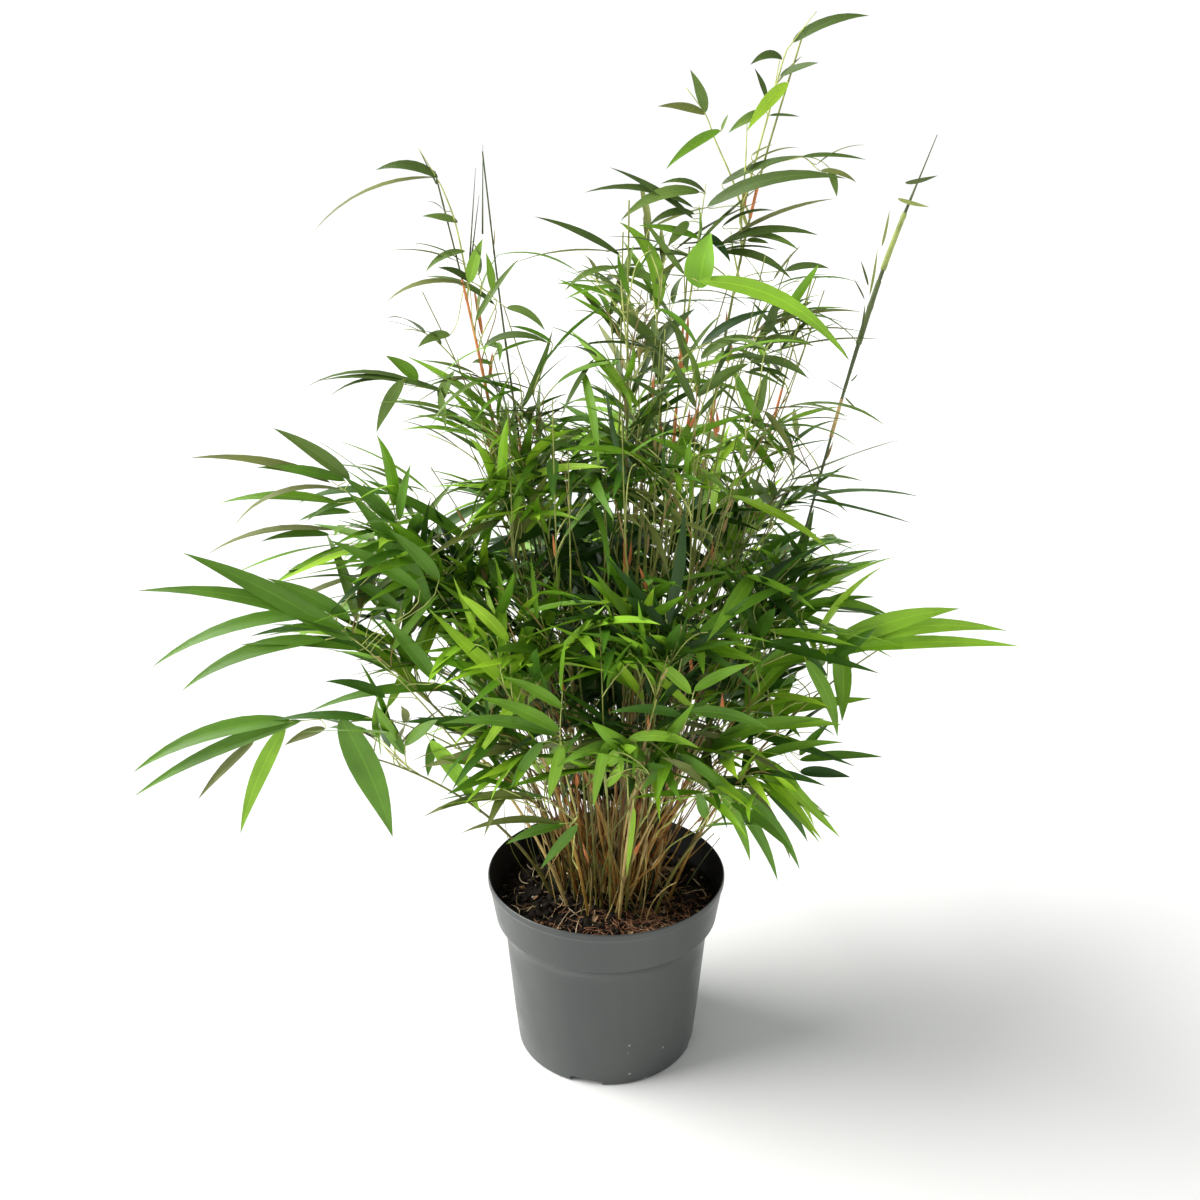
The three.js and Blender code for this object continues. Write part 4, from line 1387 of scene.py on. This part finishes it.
def grow_shown_sprays():
    """The listed sprays, each joined to the nearest cane below it, and its leaves to its twig."""
    for twig, leaves in SHOWN_SPRAYS.values():
        line = smooth_path(np.array(twig) * MM, 6 * len(twig))
        lower = LINE_POINTS[LINE_POINTS[:, 2] < line[0, 2] - 12 * MM]
        stem = lower[norm(lower - line[0], axis=1).argmin()]
        if norm(stem - line[0]) < 80 * MM:
            joined = bent_twig(stem, UP, line[0], unit(line[1] - line[0]), 8)
            twigs["twig_green"].add_tube(joined, np.full(8, 0.75 * MM), 6)
        twigs["twig_green"].add_tube(line, np.linspace(0.75, 0.3, len(line)) * MM, 6)
        for leaf in leaves:
            foot, tip = np.array(leaf[0:3]) * MM, np.array(leaf[3:6]) * MM
            shown_leaf(foot, tip, *leaf[6:])
            gaps = norm(line - foot, axis=1) + 1.2 * np.maximum(0, line[:, 2] - foot[2])
            root = line[gaps.argmin()]
            if norm(root - foot) > 1.5 * MM:
                away = unit(foot - root)
                out = unit(tip - foot)
                stalk = bent_twig(root, unit(away + 0.4 * UP), foot, unit(out + away), 7)
                twigs["twig_green"].add_tube(stalk, np.full(7, 0.33 * MM), 5)


# Papery sheaths by tone, in mm: base, point, width and roll in degrees.
SHEATHS = {
    "salmon": [
        (-88, 12, 571, -93, 11, 607, 4.5, 70), (-84, 12, 540, -81, 11, 561, 4, 80),
        (93, 6, 657, 92, 5, 673, 4, 80), (55, -1, 565, 56, -3, 589, 4, 80),
        (54, -7, 542, 49, -9, 562, 5, 85), (56, -8, 501, 48, -10, 514, 4.5, 85),
        (56, -8, 501, 58, -10, 524, 5, 80), (55, -8, 501, 66, -10, 529, 4, 80),
        (78, -4, 502, 71, -6, 527, 5, 80), (79, -4, 505, 77, -6, 523, 4, 75),
        (84, -2, 554, 87, -4, 567, 5, 85), (39, -10, 500, 37, -12, 517, 4, 80),
        (28, -60, 405, 22, -62, 424, 4.5, 80), (81, -70, 313, 81, -72, 334, 5, 80),
        (62, -40, 336, 58, -44, 358, 4, 75), (15, -20, 407, 18, -22, 431, 4, 75),
    ],
    "pale_green": [
        (186, -2, 632, 190, -3, 656, 3.5, 75), (180, -2, 600, 184, -3, 632, 3.5, 70),
        (195, 0, 663, 216, -4, 657, 5, 60),
    ],
    "dull_green": [
        (175, -2, 566, 178, -3, 596, 3.5, 70), (179, -1, 606, 172, -4, 624, 3, 75),
        (199, 0, 673, 220, -4, 677, 6, 60), (168, -1, 530, 176, -4, 522, 2.5, 60),
        (171, -1, 541, 176, -3, 547, 2.5, 60), (169, -1, 533, 151, -4, 545, 2, 20),
        (177, -1, 597, 168, -4, 612, 2.5, 60),
    ],
}
# Bare shoot tips, from base to point.
NEEDLES = [
    ((-85, 4, 640), (-83, 4, 697)),
    ((-93, -10, 622), (-87, -10, 682)),
    ((-92, -10, 622), (-85, -12, 665)),
    ((-113, -10, 672), (-124, -10, 694)),
]
SHEATH_TONES = {
    "salmon": (0.780, 0.270, 0.095),
    "straw": (0.520, 0.370, 0.160),
    "pale_green": (0.330, 0.400, 0.110),
    "dull_green": (0.110, 0.150, 0.045),
}


# Sheaths that still clasp their stem: the stem, from where to where, in mm, and the tone.
SLEEVES = [
    ("culm_left_tall", 496, 612, "salmon"), ("culm_left_inner", 470, 500, "salmon"),
    ("culm_centre_right", 496, 524, "salmon"), ("culm_centre_right", 544, 590, "salmon"),
    ("culm_right_upper", 500, 530, "salmon"), ("culm_top", 505, 530, "salmon"),
    ("culm_top", 650, 676, "salmon"), ("culm_centre", 400, 432, "salmon"),
    ("culm_front", 300, 330, "straw"), ("culm_front_left", 280, 306, "straw"),
    ("culm_bare_right", 566, 610, "dull_green"), ("culm_bare_right", 616, 656, "pale_green"),
    ("culm_bare_right", 500, 530, "straw"), ("culm_centre", 470, 500, "straw"),
]


def make_sleeves():
    heaps = {tone: Heap() for tone in SHEATH_TONES}
    for name, low, high, tone in SLEEVES:
        path, radii = MAIN_CANES[name]
        along = (path[:, 2] > low * MM) & (path[:, 2] < high * MM)
        if along.sum() > 3:
            flare = np.linspace(1.35, 1.15, int(along.sum()))
            heaps[tone].add_tube(path[along], (radii[along] + 0.1 * MM) * flare, 8)
    for tone, heap in heaps.items():
        material = varied_material("sleeve_" + tone, SHEATH_TONES[tone], 0.6, 120.0, 0.3)
        heap.build("sleeves_" + tone, material, "shoot")


def add_needles():
    for base, tip in NEEDLES:
        path = np.linspace(np.array(base) * MM, np.array(tip) * MM, 8)
        stems["dark"].add_tube(path, np.linspace(0.75, 0.15, 8) * MM, 6)


def make_sheaths():
    """The sheaths listed above, and others at joints of the canes at random."""
    rows = {tone: [] for tone in SHEATH_TONES}
    for tone, sheaths in SHEATHS.items():
        for sheath in sheaths:
            start, end = np.array(sheath[0:3]) * MM, np.array(sheath[3:6]) * MM
            width, roll = sheath[6] * MM, math.radians(sheath[7])
            ahead = unit(end - start)
            front = unit(np.array([0, -1, 0]) + ahead * ahead[1])
            side = np.cross(ahead, front)
            over = front * math.sin(roll) + side * math.cos(roll)
            rows[tone].append([*start, *ahead, *over, norm(end - start), 0.62 * width, 0.1, 0.9, 0.0])
    for path, _, travelled, joints in LINES:
        for joint in joints:
            at = int(np.searchsorted(travelled, joint))
            if at >= len(path) - 3 or rng.uniform() > 0.30:
                continue
            here, ahead = path[at], unit(path[at + 2] - path[at])
            out = unit(np.cross(ahead, unit(rng.normal(size=3))))
            tone = "straw" if rng.uniform() < 0.88 else "salmon"
            length, width = rng.uniform(9, 20) * MM, rng.uniform(2, 3.2) * MM
            rows[tone].append([*here, *unit(ahead + 0.12 * out), *out, length, width, -0.2, 0.9, 0.0])
    for tone, table in rows.items():
        material = leaf_material("sheath_" + tone, SHEATH_TONES[tone], 0.6)
        blade_piece("sheaths_" + tone, table, material)


for mass in MASS_NODES:
    grow_mass(mass)
for thicket in THICKETS:
    grow_thicket(*thicket)
grow_shown_sprays()
add_needles()
make_sleeves()
make_sheaths()

for tone, rows in leaf_rows.items():
    blade_piece("leaves_" + tone, rows, leaf_material("leaf_" + tone, LEAF_TONES[tone]))
for tone, heap in stems.items():
    material = varied_material("cane_" + tone, STEM_TONES[tone], 0.42, 90.0, 0.35, 0.1 * MM)
    heap.build("canes_" + tone, material, "culm")
for name, heap in twigs.items():
    heap.build(name, varied_material(name, TWIG_TONES[name], 0.5, 150.0, 0.3), "shoot")

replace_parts(bpy.data.objects["canes_green"], *CULM_NODES, *SHOOT_NODES)
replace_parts(bpy.data.objects["leaves_deep"], *MASS_NODES)


# ---- floor, light and camera

def make_stage():
    """A pale floor, so wide that its edge is lost in the bright surroundings."""
    sides, reach = 96, 40.0
    mesh = bpy.data.meshes.new("floor")
    mesh.from_pydata(rings([reach], [0.0], sides)[0].tolist(), [], [tuple(range(sides))])
    floor = bpy.data.objects.new("floor", mesh)
    bpy.context.scene.collection.objects.link(floor)
    material, _tree, shader = new_material("floor_white", 0.9, 0.1)
    shader.inputs["Base Color"].default_value = (0.90, 0.90, 0.90, 1)
    mesh.materials.append(material)


def make_world():
    """A white surround that is brightest low down and dimmer overhead."""
    world = bpy.data.worlds.new("studio")
    world.use_nodes = True
    tree = world.node_tree
    background = tree.nodes["Background"]
    toward = tree.nodes.new("ShaderNodeTexCoord").outputs["Generated"]
    stops = [(0.14, (1.04, 1.04, 1.04)), (0.42, (0.395, 0.40, 0.40))]
    colour = ramp_node(tree, axis_node(tree, toward, "Z"), stops)
    tree.links.new(colour, background.inputs["Color"])
    background.inputs["Strength"].default_value = 1.0
    bpy.context.scene.world = world


SUN_AZIMUTH, SUN_HEIGHT, SUN_WIDTH = math.radians(178), math.radians(38), math.radians(52)


def make_sun():
    """One broad, soft light from the left."""
    data = bpy.data.lights.new("key", "SUN")
    data.energy = 4.9
    data.angle = SUN_WIDTH
    data.color = (1.0, 0.99, 0.965)
    sun = bpy.data.objects.new("key", data)
    level = math.cos(SUN_HEIGHT)
    toward = Vector((math.cos(SUN_AZIMUTH) * level, math.sin(SUN_AZIMUTH) * level, math.sin(SUN_HEIGHT)))
    sun.rotation_euler = toward.to_track_quat("Z", "Y").to_euler()
    bpy.context.scene.collection.objects.link(sun)


CAMERA_PLACE = (-0.005, -0.850, 0.660)
CAMERA_DOWN = 18.3  # degrees below level


def make_camera():
    """The photo's viewpoint."""
    data = bpy.data.cameras.new("camera")
    data.sensor_width = 36
    data.lens = 36
    camera = bpy.data.objects.new("camera", data)
    camera.location = CAMERA_PLACE
    camera.rotation_euler = (math.radians(90 - CAMERA_DOWN), 0, 0)
    bpy.context.scene.collection.objects.link(camera)
    bpy.context.scene.camera = camera


make_stage()
make_world()
make_sun()
make_camera()
bpy.context.scene.view_settings.view_transform = "Standard"
